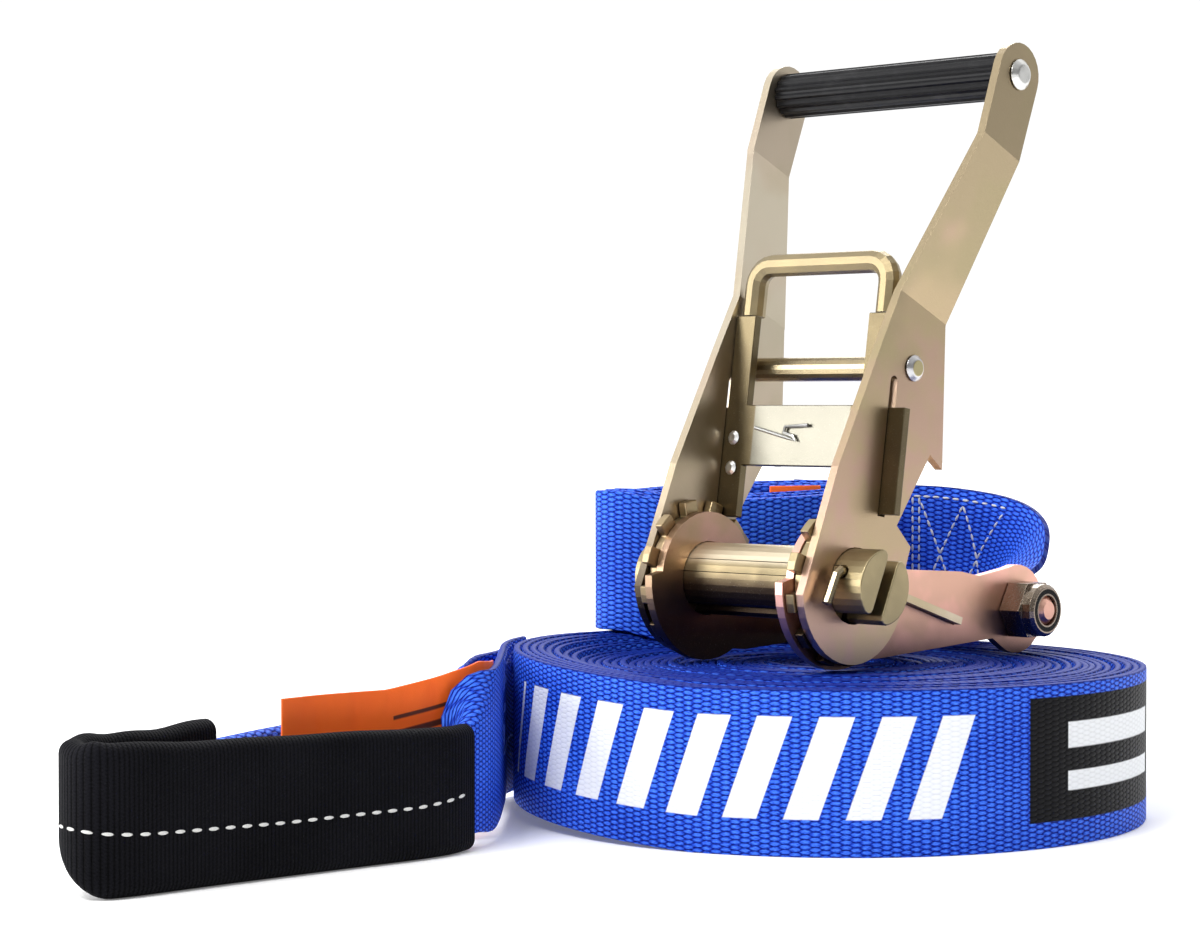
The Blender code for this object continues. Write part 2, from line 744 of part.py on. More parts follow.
def half_moon(radius, flat, facing, corner=0.0):
    """Half of a round bar, cut flat on one side. Facing is the way its round back points."""
    half_angle = acos(flat / radius)
    if not corner:
        return arc((0, 0), radius, facing - half_angle, facing + half_angle, 13)
    inner = radius - corner
    swing = acos((flat + corner) / inner)
    ends = []
    for side in (-1, 1):
        centre = (inner * cos(facing + side * swing), inner * sin(facing + side * swing))
        ends.append(arc(centre, corner, facing + side * pi, facing + side * swing, 4))
    back = arc((0, 0), radius, facing - swing, facing + swing, 13)
    return ends[0] + back[1:-1] + list(reversed(ends[1]))


def spool(frame):
    """Two half-round shafts with the strap's slot between them, keyed into two toothed wheels."""
    axis = empty("spool_axis", frame)
    facings = (-SLOT_LEAN, pi - SLOT_LEAN)
    wheel = []
    for tooth in range(WHEEL_TEETH):
        gap = WHEEL_GAP_ANGLE + tau * tooth / WHEEL_TEETH
        pitch = tau / WHEEL_TEETH
        wheel += arc((0, 0), WHEEL_ROOT_RADIUS, gap - ROOT_HALF_GAP, gap + ROOT_HALF_GAP, 3)
        wheel += arc((0, 0), WHEEL_TIP_RADIUS, gap + TIP_HALF_GAP, gap + pitch - TIP_HALF_GAP, 3)
    sockets = [half_moon(SHAFT_RADIUS + SEAT_GAP, SHAFT_SLOT / 2 - SEAT_GAP, f) for f in facings]
    side = WHEEL_INSIDE + WHEEL_THICKNESS / 2
    plate("ratchet_wheel_left", [wheel, *sockets], WHEEL_THICKNESS, axis, side, COATED_STEEL)
    plate("ratchet_wheel_right", [wheel, *sockets], WHEEL_THICKNESS, axis, -side, COATED_STEEL)
    cotter_side = HANDLE_OUTSIDE + COTTER_BESIDE
    for name, facing in zip(("half_shaft_back", "half_shaft_front"), facings):
        outline = half_moon(SHAFT_RADIUS, SHAFT_SLOT / 2, facing, SHAFT_CORNER)
        shaft = plate(name, [outline], 2 * (HANDLE_OUTSIDE + SHAFT_END), axis, 0, COATED_STEEL)
        shaft = solid_mesh(shaft)
        smooth(shaft)
        for place in (cotter_side, -cotter_side):
            cut(shaft, cotter_drill(axis, place))
    cotter("cotter_pin_left", axis, cotter_side)
    cotter("cotter_pin_right", axis, -cotter_side)


def across_slot(distance, side):
    """A point on the line that the cotter pins follow, square to the shafts' slot."""
    return Vector((distance * cos(SLOT_LEAN), side, -distance * sin(SLOT_LEAN)))


def cotter_drill(axis, side):
    mesh = bpy.data.meshes.new("cotter_drill")
    shape = bmesh.new()
    bmesh.ops.create_cone(
        shape, cap_ends=True, segments=12, radius1=COTTER_HOLE_RADIUS,
        radius2=COTTER_HOLE_RADIUS, depth=4 * SHAFT_RADIUS,
    )
    shape.to_mesh(mesh)
    shape.free()
    return add("cotter_drill", mesh, axis, (0, side, 0), (0, pi / 2 + SLOT_LEAN, 0))


def cotter(name, axis, side):
    """A pin through both half shafts, with its leg bent down outside them."""
    route = [
        across_slot(COTTER_END, side),
        across_slot(-COTTER_END * COTTER_SHORT_SHARE, side),
        across_slot(-COTTER_END, side) - Vector((0, 0, COTTER_CORNER)),
        across_slot(-COTTER_END, side) - Vector((COTTER_LEAN, 0, COTTER_LEG)),
    ]
    tube_along(name, route, COTTER_RADIUS, axis, BARE_STEEL)


def handle_outline():
    below = arc((0, 0), HANDLE_END_RADIUS, radians(184), radians(366), 22)
    top = arc(GRIP_PLACE, GRIP_END_RADIUS, radians(-22), radians(157), 14)
    return below + HANDLE_BACK_EDGE + top + HANDLE_FRONT_EDGE


def handle_plate(name, axis, hand):
    """A side plate with two bends that widen the handle towards its grip. Hand is 1 or -1."""
    outlines = [
        handle_outline(),
        circle((0, 0), SHAFT_RADIUS + SHAFT_CLEARANCE),
        slot_outline(along_slider, 0, SLIDER_SLOT_LENGTH, SLIDER_PLATE / 2 + SEAT_GAP, True),
        circle(CROSS_TUBE_PLACE, PIN_RADIUS + SEAT_GAP, 16),
        circle(GRIP_PLACE, PIN_RADIUS + SEAT_GAP, 16),
    ]
    flat = plate(name, outlines, PLATE, axis, hand * handle_side(), COATED_STEEL)
    bent = solid_mesh(flat)
    shape = bmesh.new()
    shape.from_mesh(bent.data)
    across = Vector((*BEND_ACROSS, 0))
    for bend in (LOWER_BEND, UPPER_BEND):
        bmesh.ops.bisect_plane(
            shape, geom=shape.verts[:] + shape.edges[:] + shape.faces[:],
            plane_co=across * bend, plane_no=across, dist=MERGE,
        )
    for vertex in shape.verts:
        share = (vertex.co.dot(across) - LOWER_BEND) / (UPPER_BEND - LOWER_BEND)
        vertex.co.z -= hand * FLARE * min(1, max(0, share))
    shape.to_mesh(bent.data)
    shape.free()
    return bent


def handle(frame):
    axis = empty("handle_axis", frame)
    handle_plate("handle_plate_left", axis, 1)
    handle_plate("handle_plate_right", axis, -1)
    grip_half = HANDLE_OUTSIDE + FLARE - PLATE - SEAT_GAP
    rib_points = 4 * GRIP_RIBS
    ribbed = []
    for i in range(rib_points):
        angle = tau * i / rib_points
        radius = GRIP_RADIUS if i % 4 in (1, 2) else GRIP_RADIUS - GRIP_RIB_DEPTH
        ribbed.append((GRIP_PLACE[0] + radius * cos(angle), GRIP_PLACE[1] + radius * sin(angle)))
    bore = circle(GRIP_PLACE, PIN_RADIUS + SEAT_GAP, 16)
    plate("handle_grip", [ribbed, bore], 2 * grip_half, axis, 0, BLACK_PLASTIC)
    rivet("grip_rivet", axis, GRIP_PLACE, HANDLE_OUTSIDE + FLARE + SEAT_GAP, GRIP_PIN_HEAD, BARE_STEEL)
    rivet("cross_rivet", axis, CROSS_TUBE_PLACE, HANDLE_OUTSIDE + SEAT_GAP, CROSS_PIN_HEAD,
          BARE_STEEL)
    tube_half = HANDLE_OUTSIDE - PLATE - SEAT_GAP
    bore_radius = PIN_RADIUS + SEAT_GAP
    turned(
        "cross_tube",
        [(-tube_half, bore_radius), (-tube_half, CROSS_TUBE_RADIUS),
         (tube_half, CROSS_TUBE_RADIUS), (tube_half, bore_radius)],
        axis, CROSS_TUBE_PLACE, COATED_STEEL, ring=True,
    )
    slider(axis)


def rivet(name, holder, place, reach, head, look):
    """A pin right across the ratchet with a low head at each end."""
    crown = head * HEAD_CROWN_SHARE
    depth = head * HEAD_DEPTH_SHARE
    turned(
        name,
        [(-reach - depth, 0), (-reach - depth, crown), (-reach, head), (-reach, PIN_RADIUS),
         (reach, PIN_RADIUS), (reach, head), (reach + depth, crown), (reach + depth, 0)],
        holder, place, look,
    )


def slider_spot(distance, side, off=0.0):
    """A point in the slider guide's frame."""
    run = Vector(SLIDER_RUN).normalized()
    return Vector((distance * run.x + off * run.y, side, distance * run.y - off * run.x))


def slider(axis):
    """The plate that the fingers pull up: its two feet drop between the wheels' teeth."""
    guide = empty("slider_guide", axis, (SLIDER_START[0], 0, SLIDER_START[1]))
    outer = handle_side() - PLATE / 2 - SEAT_GAP
    inner = INSIDE_HALF - SLIDER_LEG_IN
    tab = HANDLE_OUTSIDE + SLIDER_TAB_OUT
    low, high = SLIDER_CROSS
    half = [
        (inner, low), (inner, SLIDER_TIP), (outer, SLIDER_TIP), (outer, SLIDER_TAB[0]),
        (tab, SLIDER_TAB[0]), (tab, SLIDER_TAB[1]),
        (outer, SLIDER_TAB[1]), (outer, SLIDER_LEG_TOP), (inner, SLIDER_LEG_TOP), (inner, high),
    ]
    middle = (inner + outer) / 2
    shank = RIVET_HEAD_RADIUS * SHANK_SHARE
    holes = []
    for hand in (1, -1):
        for along in SLIDER_RIVETS:
            holes.append(circle((hand * middle, along), shank + SEAT_GAP, 10))
    angle = atan2(SLIDER_RUN[1], SLIDER_RUN[0])
    half_plate = SLIDER_PLATE / 2
    body = cross_plate("slider_pawl", guide, (0, 0), angle, mirrored(half), SLIDER_PLATE, holes)
    ledge_spot = slider_spot(LEDGE_PLACE, 0)
    ledge_outline = [
        (LEDGE_HALF - middle, 0), (LEDGE_HALF - middle, LEDGE_DEPTH),
        (-LEDGE_HALF - middle, LEDGE_DEPTH), (-LEDGE_HALF - middle, 0),
    ]
    ledge = cross_plate("slider_ledge", guide, (ledge_spot.x, ledge_spot.z), angle - pi / 2,
                        ledge_outline, SLIDER_PLATE)
    cut(solid_mesh(body), solid_mesh(ledge), "UNION", "MANIFOLD")
    spring_parts(guide, -middle)
    names = iter(("slider_rivet_left_low", "slider_rivet_left_high",
                  "slider_rivet_right_low", "slider_rivet_right_high"))
    for hand in (1, -1):
        for along in SLIDER_RIVETS:
            small_rivet(next(names), guide, slider_spot(along, hand * middle), shank, half_plate)
    pull_bar(guide, middle, half_plate)


def spring_parts(guide, side):
    """The spring that pushes the slider down from the cross tube, and the wire clip in front."""
    tube = Vector((CROSS_TUBE_PLACE[0] - SLIDER_START[0], 0, CROSS_TUBE_PLACE[1] - SLIDER_START[1]))
    tube_along_run = tube.dot(slider_spot(1, 0))
    start = slider_spot(LEDGE_PLACE + SLIDER_PLATE / 2 + SEAT_GAP, side, SPRING_BEHIND)
    stop = slider_spot(tube_along_run - CROSS_TUBE_RADIUS - SEAT_GAP, side, SPRING_BEHIND)
    spring("slider_spring", guide, start, stop, SPRING_RADIUS, SPRING_WIRE, SPRING_CURLS)
    off = -(SLIDER_PLATE / 2 + SEAT_GAP + CLIP_RADIUS)
    route = [slider_spot(along, across, off) for across, along in CLIP_ROUTE]
    tube_along("slider_spring_clip", route, CLIP_RADIUS, guide, BARE_STEEL)


def small_rivet(name, guide, spot, shank, half_plate):
    """A domed rivet through the slider's plate, its head to the front."""
    head = RIVET_HEAD_RADIUS
    face = half_plate + SEAT_GAP
    profile = [
        (-face - head * HEAD_DEPTH_SHARE, 0), (-face - head * HEAD_DEPTH_SHARE, shank),
        (-face, head), (-face, shank), (face, shank), (face, head),
        (face + head * HEAD_DEPTH_SHARE, shank), (face + head * HEAD_DEPTH_SHARE, 0),
    ]
    piece = turned(name, profile, guide, (0, 0), BARE_STEEL, sides=10)
    piece.location = spot
    through = slider_spot(0, 0, 1)
    piece.rotation_euler = through.to_track_quat("Y", "Z").to_euler()
    return piece


def pull_bar(guide, middle, half_plate):
    """A round bar bent into a U: the fingers pull its middle, its ends stand on the slider's legs."""
    off = PULL_BAR_RADIUS - half_plate
    corner = PULL_BAR_CORNER
    top = PULL_BAR_PLACE
    centre = (middle - corner, top - corner)
    bend = arc(centre, corner, 0, pi / 2, 6)
    half = [(middle, SLIDER_LEG_TOP + SEAT_GAP)] + bend
    route = [slider_spot(along, across, off) for across, along in mirrored(half)]
    tube_along("pull_bar", route, PULL_BAR_RADIUS, guide, COATED_STEEL, 3)


def rear_bolt(frame):
    """The bolt that ties the base together and carries the ratchet strap."""
    outer = WHEEL_INSIDE
    bolt_end = outer + NUT_DEPTH + COLLAR_DEPTH + BOLT_TIP
    end = BOLT_RADIUS * HEAD_CROWN_SHARE
    shank = turned(
        "rear_bolt",
        [(-bolt_end, 0), (-bolt_end, end), (-bolt_end + BOLT_RADIUS - end, BOLT_RADIUS),
         (outer + HEAD_DEPTH / 2, BOLT_RADIUS), (outer + HEAD_DEPTH / 2, 0)],
        frame, BOLT_PLACE, COATED_STEEL, sides=24,
    )
    head = hexagon("bolt_head", frame, HEAD_DEPTH, outer + HEAD_DEPTH / 2)
    cut(shank, solid_mesh(head), "UNION")
    nut = hexagon("rear_nut", frame, NUT_DEPTH, -outer - NUT_DEPTH / 2, BOLT_RADIUS + THREAD_GAP)
    nut = solid_mesh(nut)
    bore = BOLT_RADIUS + THREAD_GAP
    start = -outer - NUT_DEPTH / 2
    stop = -outer - NUT_DEPTH - COLLAR_DEPTH
    collar = turned(
        "nut_collar",
        [(start, bore), (start, COLLAR_RADIUS), (stop + COLLAR_DEPTH / 4, COLLAR_RADIUS),
         (stop, COLLAR_RADIUS - COLLAR_DEPTH / 4), (stop, bore)],
        frame, BOLT_PLACE, COATED_STEEL, sides=24, ring=True,
    )
    cut(nut, collar, "UNION")
    half = INSIDE_HALF - SEAT_GAP
    turned(
        "bolt_spacer",
        [(-half, SPACER_RADIUS - SPACER_WALL), (-half, SPACER_RADIUS),
         (half, SPACER_RADIUS), (half, SPACER_RADIUS - SPACER_WALL)],
        frame, BOLT_PLACE, COATED_STEEL, sides=24, ring=True,
    )


def hexagon(name, frame, depth, side, bore=None):
    outlines = [circle(BOLT_PLACE, NUT_CORNER_RADIUS, 6)]
    if bore:
        outlines.append(circle(BOLT_PLACE, bore, 24))
    return plate(name, outlines, depth, frame, side, COATED_STEEL)


def main():
    clear_scene()
    main_line()
    ratchet_strap()
    frame = empty("ratchet_frame", None, (*SPOOL_PLACE, spool_height()), (0, 0, RATCHET_TURN))
    base(frame)
    base_pawl(frame)
    spool(frame)
    handle(frame)
    rear_bolt(frame)


main()
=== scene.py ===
"""Looks of the slackline kit: its webbing, sleeve, labels and finishes, with a pale studio round it.

Metres, +Z up, in the same frame as the CAD. Camera and lights stand where the photograph's did.
"""

from bisect import bisect_right
from math import atan2, cos, hypot, pi, radians, sin, sqrt, tau

import bpy
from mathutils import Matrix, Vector


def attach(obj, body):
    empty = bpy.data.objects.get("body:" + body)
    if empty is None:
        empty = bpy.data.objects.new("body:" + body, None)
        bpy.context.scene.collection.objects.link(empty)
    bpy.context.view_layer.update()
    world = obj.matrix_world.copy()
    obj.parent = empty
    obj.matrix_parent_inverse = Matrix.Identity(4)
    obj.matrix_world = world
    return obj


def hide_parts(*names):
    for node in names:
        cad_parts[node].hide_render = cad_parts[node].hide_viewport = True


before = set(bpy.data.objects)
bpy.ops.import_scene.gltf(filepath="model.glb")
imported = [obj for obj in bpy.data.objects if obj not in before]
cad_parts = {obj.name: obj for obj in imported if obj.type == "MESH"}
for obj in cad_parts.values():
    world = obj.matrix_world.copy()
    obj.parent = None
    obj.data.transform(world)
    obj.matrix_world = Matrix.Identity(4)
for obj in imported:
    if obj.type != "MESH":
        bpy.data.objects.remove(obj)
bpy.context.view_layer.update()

# Camera, from the photograph
CAMERA_PLACE = (-0.0746, -0.999, 0.1345)
CAMERA_DROP = radians(1.26)
LENS = 90.8
FILM_WIDTH = 36
NEAREST_SEEN = 0.05

# Lights: name, place, what each points at, size and watts
LIGHTS = [
    ("key_light", (-0.8, -0.9, 1.5), (0, 0, 0.05), 0.9, 26),
    ("side_light", (-1.5, -0.2, 0.45), (0, 0, 0.1), 0.9, 14),
    ("rim_light", (0.3, 1.4, 1.3), (0, 0, 0.1), 1.0, 14),
]

# Floor, which glows a little here and more far behind the object
FLOOR_SIZE = 12
FLOOR_WHITE = (0.90, 0.90, 0.90, 1)
FLOOR_WHITER = (0.93, 0.93, 0.93, 1)
GLOW_NEAR = (0.14, 0.14, 0.14, 1)
GLOW_FAR = (0.7, 0.7, 0.7, 1)
GLOW_CHANGES = (0.5, 1.6)

# Sky: from and to where it changes, by how far back or up one looks, and the strengths there
SKY_BEHIND = (-0.25, 0.45, 0.25, 1.05)
SKY_OVERHEAD = (0.25, 0.85, 0.0, 0.50)

# Webbing
WEBBING_WIDTH = 0.050
WEBBING_THICKNESS = 0.0021
WEBBING_EDGE = 0.0007
SEAT_GAP = 0.0003
YARN_LENGTH = 0.0030
YARN_REACH = 0.66
LINE_YARN_WIDTH = 0.00155
STRAP_YARN_WIDTH = 0.00175
YARN_HEIGHT = 0.00042
THREAD_HEIGHT = 0.00009
THREAD_GRAIN = (900, 4200)
FADING_GRAIN = (14, 40)
LANES = 4

# Wound main line
COIL_RADIUS = 0.1045
COIL_PITCH = 0.0027
COIL_TURNS = 36
TURN_POINTS = 72
COIL_END_ANGLE = radians(128)
COIL_LEAN = 0.00045
COIL_LOW_EDGE = 0.0011
BUNCH_TURNS = 6.5
COIL_OVAL = 0.6
DIP_PER_TURN = 2.1
DIP_SWAY = 1.3
DEEP_DIP_PER_TURN = 3.7
PRINT_FOOT = 0.0113
PRINT_TOP = 0.0420
PRINT_START = 0.367
PRINT_STOP = 0.540
PRINT_PERIOD = 0.0185
PRINT_BAR = 0.0105
PRINT_SLANT = 0.35
PATCH_START = 0.240
PATCH_STOP = 0.3370
PATCH_FOOT = 0.0080
PATCH_TOP = 0.0460
PATCH_LINES = [(0.030, 0.038), (0.017, 0.023)]
PATCH_LINES_START = 0.260
PATCH_LINES_STOP = 0.321
PRINT_GAP = 0.06
PRINT_GAP_EDGE = 0.012
PRINT_EDGE = 0.00025

# How far the outer turns and the free end ride up, on the side where the free end leaves
RIDE_UP = 0.0054
RIDE_UP_ANGLE = radians(160)
RIDE_UP_SPREAD = 1.1
RIDE_UP_FROM = (0.074, 0.096)
RIDE_UP_TO = (0.134, 0.156)

# Free end of the main line and its eye: route of the strip seen from above
EYE_ROUTE = [
    (-0.0816, 0.0685), (-0.0969, 0.0515), (-0.1048, 0.0381), (-0.1135, 0.0180),
    (-0.1350, -0.0100), (-0.1590, -0.0500), (-0.1770, -0.0870), (-0.1905, -0.1200),
    (-0.2045, -0.1440), (-0.2165, -0.1590), (-0.2205, -0.1705), (-0.2140, -0.1797),
    (-0.2035, -0.1760), (-0.1800, -0.1540), (-0.1500, -0.1270), (-0.1240, -0.1035),
    (-0.1146, -0.0879), (-0.1080, -0.0640), (-0.1066, -0.0200), (-0.1066, 0.0050),
    (-0.1048, 0.0220), (-0.1006, 0.0365),
]
ROUTE_STEPS = 8
SLEEVE_FIRST = 7
SLEEVE_LAST = 16
FOLDED_WIDTH = 0.0315
FOLDED_FOOT = 0.003
FOLD_RADIUS = 0.0013
FOLD_ANGLE = radians(176)
FOLD_FIRST = 5.7
LEAVES_RIDE = 4.8
UNFOLD_BEFORE = 2.0
UNFOLD_AFTER = 1.0
FOLD_SLIDE = 0.6
FLAP_SHARES = [0.05] * 5 + [0.15] * 5
SLEEVE_WALL = 0.0012
SLEEVE_HALF_DEPTH = 0.0037
SLEEVE_HEIGHT = 0.0430
SLEEVE_END_HEIGHT = 0.0384
SLEEVE_RIB = 0.00135
SLEEVE_YARN = 0.00110
SLEEVE_RIB_HEIGHT = 0.0005
SLEEVE_FADING_GRAIN = (30, 30)
SLEEVE_FLUFF_GRAIN = (2600, 1700)
SLEEVE_CORNER = 0.0135
SLEEVE_SWELL = 0.10
SLEEVE_WAVE = 0.02
SLEEVE_WAVES = 31
DROOP_FROM = 0.4
TOP_RIPPLES = [(0.0004, 23, 2.0), (0.0003, 57, 0.0)]
BEND_STEPS = 6
SIDE_STEPS = 7
SAME_POINT = 0.00001
STITCH_LENGTH = 0.0038
STITCH_STEP = 0.0058
STITCH_RADIUS = 0.00055
STITCH_SPAN = (0.2, 0.8)
STITCH_LIFT = 0.2 * STITCH_RADIUS
SEAM_HEIGHTS = [
    (0.00, 0.0195), (0.42, 0.0195), (0.58, 0.0173), (0.72, 0.0160), (0.86, 0.0160), (1.01, 0.0188),
]
BOX_SEAM_LENGTH = 0.060
BOX_SEAM_TO_END = 0.006
BOX_SEAM_SHARES = (0.12, 0.88)
LABEL_HEIGHT = 0.0475
LABEL_THICKNESS = 0.0008
LABEL_EDGE = 0.00025
LABEL_PRINT = (0.030, 0.056)
LABEL_LINE_STEP = 0.0052
LABEL_PRINT_EDGE = 0.0002
LABEL_WEAVE_GRAIN = (3800, 3800)
LABEL_CREASE_GRAIN = (55, 18)
LABEL_LIFTS = [(0.00, 0.0060), (0.30, 0.0078), (0.46, 0.0052), (0.66, 0.0006), (1.00, 0.0)]
LABEL_ROUTE = [
    (-0.1088, -0.0400), (-0.1094, -0.0550), (-0.1135, -0.0660), (-0.1230, -0.0730),
    (-0.1400, -0.0820), (-0.1570, -0.0930), (-0.1690, -0.1040),
]

# Ratchet strap, wound and standing on the main coil
STRAP_CENTRE = (-0.022, 0.092)
STRAP_HALF_LENGTH = 0.0570
STRAP_HALF_DEPTH = 0.025
STRAP_TILT = radians(20)
STRAP_PITCH = 0.0033
STRAP_LOOPS = 4
STRAP_LOOP_POINTS = 96
STRAP_END_ANGLE = radians(60)
STRAP_RISE = 0.008
STRAP_LOW_EDGE = 0.0009
STRAP_DIP_PER_LOOP = 2.4
STRAP_DIP_START = 0.7
STRAP_END_ROUTE = [
    ((0.0380, 0.1225), 0.0800, 90),
    ((0.0520, 0.1180), 0.0793, 88),
    ((0.0640, 0.1090), 0.0778, 80),
    ((0.0700, 0.0970), 0.0766, 64),
    ((0.0700, 0.0850), 0.0758, 44),
    ((0.0655, 0.0750), 0.0749, 24),
    ((0.0600, 0.0660), 0.0740, 10),
]
STRAP_TAIL = 0.012
STRAP_LANES = 6
WRAP_POINTS = 12
WRAP_START = radians(70)
WRAP_STEP = radians(20)
STRAP_STITCH_STEP = 0.0036
SEWN_FROM = 0.044
SEWN_TO = 0.080
SEWN_SHARES = (0.08, 0.92)
SECOND_BAR = 0.0025
ZIGZAG_START = 0.003
ZIGZAG_GAP = 0.001
ZIGZAG_INSET = 0.04
ZIGZAG_TEETH = 4
STRAP_LABEL_ANGLES = (radians(276), radians(291), radians(306))
STRAP_LABEL_HEIGHT = 0.030
STRAP_LABEL_TOP = 0.1055
STRAP_LABEL_PRINT = (0.004, 0.022)

# Ratchet, side on: s runs from the spool towards the rear bolt, t runs up
SPOOL_PLACE = (-0.020, -0.0185)
SPOOL_HEIGHT = 0.0773
RATCHET_TURN = radians(45.4)
BOLT_PLACE = (0.0940, -0.012)
SPACER_RADIUS = 0.0076
CROSS_TUBE_PLACE = (0.0295, 0.069)
CROSS_PIN = 0.0027

# Rounded edges of the ratchet's pieces, and where its coats, marks and painted light change
SAME_CAD_POINT = 0.000005
ROUNDED_EDGE = 0.00045
ROUNDED_EDGE_FROM = radians(40)
ROUNDED_DOME = 0.0009
ROUNDED_DOME_FROM = radians(12)
FLAT_WITHIN = radians(0.5)
SLIDER_BRIGHT_HALF = 0.0205
LOCK_RING = (0.0056, 0.0072)
LOCK_RING_OUT = (0.036, 0.037)
# Painted highlight: from and to which height the bright band on the shafts runs
SHAFT_HIGHLIGHT_BAND = (0.0065, 0.0125)
BETWEEN_PLATES = 0.034
UPPER_PART = (0.03, 0.10)
UPPER_PATCHES = 27.0

# Finishes: colours, and how fine each grain is
# Webbing blues: deep for the painted shade between yarns, light for the painted light on yarn crowns and
# thread streaks
BLUE_DEEP = (0.001, 0.008, 0.16, 1)
BLUE_MIDDLE = (0.007, 0.052, 0.63, 1)
BLUE_LIGHT = (0.075, 0.255, 1.0, 1)
# Painted shade at the webbing's upper rim: how far it darkens
RIM_PAINTED_SHADE = 0.85
INK_WHITE = (0.83, 0.85, 0.88, 1)
INK_FILLS = 0.72
# Blacks of the printed patch: the darker one is the painted shade between yarns
PATCH_DARK = (0.001, 0.001, 0.001, 1)
PATCH_BLACK = (0.006, 0.006, 0.008, 1)
# Sleeve blacks: darker for the painted shade in the rib hollows, lighter for the painted light on the
# crests, fluff and wander
SLEEVE_DARK = (0.0006, 0.0006, 0.0009, 1)
SLEEVE_BLACK = (0.0085, 0.0085, 0.0115, 1)
ORANGE = (0.94, 0.110, 0.008, 1)
ORANGE_LIGHT = (1.0, 0.175, 0.014, 1)
LABEL_INK = (0.012, 0.010, 0.010, 1)
THREAD_WHITE = (0.80, 0.80, 0.78, 1)
THREAD_BLUE = (0.05, 0.12, 0.62, 1)
GRIP_BLACK = (0.003, 0.003, 0.004, 1)
GRIP_DUSTY = (0.016, 0.016, 0.017, 1)
PINK = (0.54, 0.36, 0.28, 1)
GOLD = (0.50, 0.40, 0.23, 1)
OLIVE = (0.34, 0.28, 0.16, 1)
GREENISH = (0.36, 0.30, 0.18, 1)
# Painted light on the left handle plate's upper half
LEFT_PLATE_PAINTED_LIGHT = (0.60, 0.54, 0.42, 1)
# Painted highlight on the shafts
SHAFT_PAINTED_HIGHLIGHT = (0.90, 0.78, 0.58, 1)
# Painted reflection on the slider's cross plate
SLIDER_PAINTED_REFLECTION = (0.20, 0.19, 0.155, 1)
BRASSY = (0.46, 0.40, 0.22, 1)
NYLON_BLACK = (0.004, 0.004, 0.005, 1)
RIVET_ZINC = (0.74, 0.74, 0.72, 1)
RING_ZINC = (0.70, 0.70, 0.72, 1)
WIRE_ZINC = (0.62, 0.62, 0.60, 1)
# Painted shade: the dark brown that the coats fade to towards the bottom
PAINTED_SHADE_BROWN = (0.045, 0.030, 0.020, 1)
PALE_SPECKLE = (0.80, 0.74, 0.58, 1)
THREAD_TWIST = 2600.0
ZINC_SCRATCHES = 1500.0
ZINC_CLOUDS = 160.0
GRIP_GRAIN = 2400.0
GRIP_DUST = 120.0
COAT_CLOUDS = 34.0
COAT_DRIFT = 75.0
COAT_SPECKLE = 2300.0
MORE_SPECKLE = 0.05

# Coats of the steel: body colour, cast and roughness
COATS = {
    "pinkish_passivated_steel": (PINK, GOLD, 0.34),
    "paler_passivated_steel": ((0.58, 0.47, 0.36, 1), (0.50, 0.42, 0.29, 1), 0.34),
    "base_passivated_steel": ((0.92, 0.51, 0.42, 1), (0.68, 0.42, 0.30, 1), 0.36),
    # The far base plate's coat is a darker copy of the near plate's, as painted shade
    "far_base_painted_shade_steel": ((0.50, 0.30, 0.23, 1), (0.40, 0.28, 0.17, 1), 0.36),
    "golden_passivated_steel": ((0.40, 0.33, 0.21, 1), GOLD, 0.30),
    "pawl_passivated_steel": ((0.66, 0.56, 0.42, 1), GOLD, 0.34),
    "pull_bar_passivated_steel": ((0.27, 0.22, 0.13, 1), (0.34, 0.27, 0.15, 1), 0.42),
    "olive_passivated_steel": (OLIVE, GOLD, 0.40),
    "wheel_passivated_steel": (OLIVE, (0.40, 0.29, 0.17, 1), 0.36),
    "slider_steel": ((0.17, 0.135, 0.075, 1), (0.12, 0.095, 0.055, 1), 0.34),
    "nut_steel": ((0.30, 0.24, 0.20, 1), (0.22, 0.18, 0.14, 1), 0.24),
}

# Painted shades: from and to which height above the spool a coat goes from painted shade to its own colour,
# and how far out
EVERYWHERE = 1
FAR_PLATE_SHADE = (-0.014, 0.042, EVERYWHERE)
BASE_SHADE = (-0.034, -0.002, EVERYWHERE)
FAR_BASE_SHADE = (-0.022, 0.010, EVERYWHERE)
WHEEL_SHADE = (-0.022, 0.012, EVERYWHERE)
SHAFT_SHADE = (-0.003, 0.009, BETWEEN_PLATES)
SHADE_WANDER = 0.006


class Amount:
    """A number worked out afresh at every point of a surface."""

    def __init__(self, paint, socket):
        self.paint = paint
        self.socket = socket

    def __add__(self, other):
        return self.paint.maths("ADD", self, other)

    def __radd__(self, other):
        return self.paint.maths("ADD", other, self)

    def __sub__(self, other):
        return self.paint.maths("SUBTRACT", self, other)

    def __rsub__(self, other):
        return self.paint.maths("SUBTRACT", other, self)

    def __mul__(self, other):
        return self.paint.maths("MULTIPLY", self, other)

    def __rmul__(self, other):
        return self.paint.maths("MULTIPLY", other, self)

    def __truediv__(self, other):
        return self.paint.maths("DIVIDE", self, other)


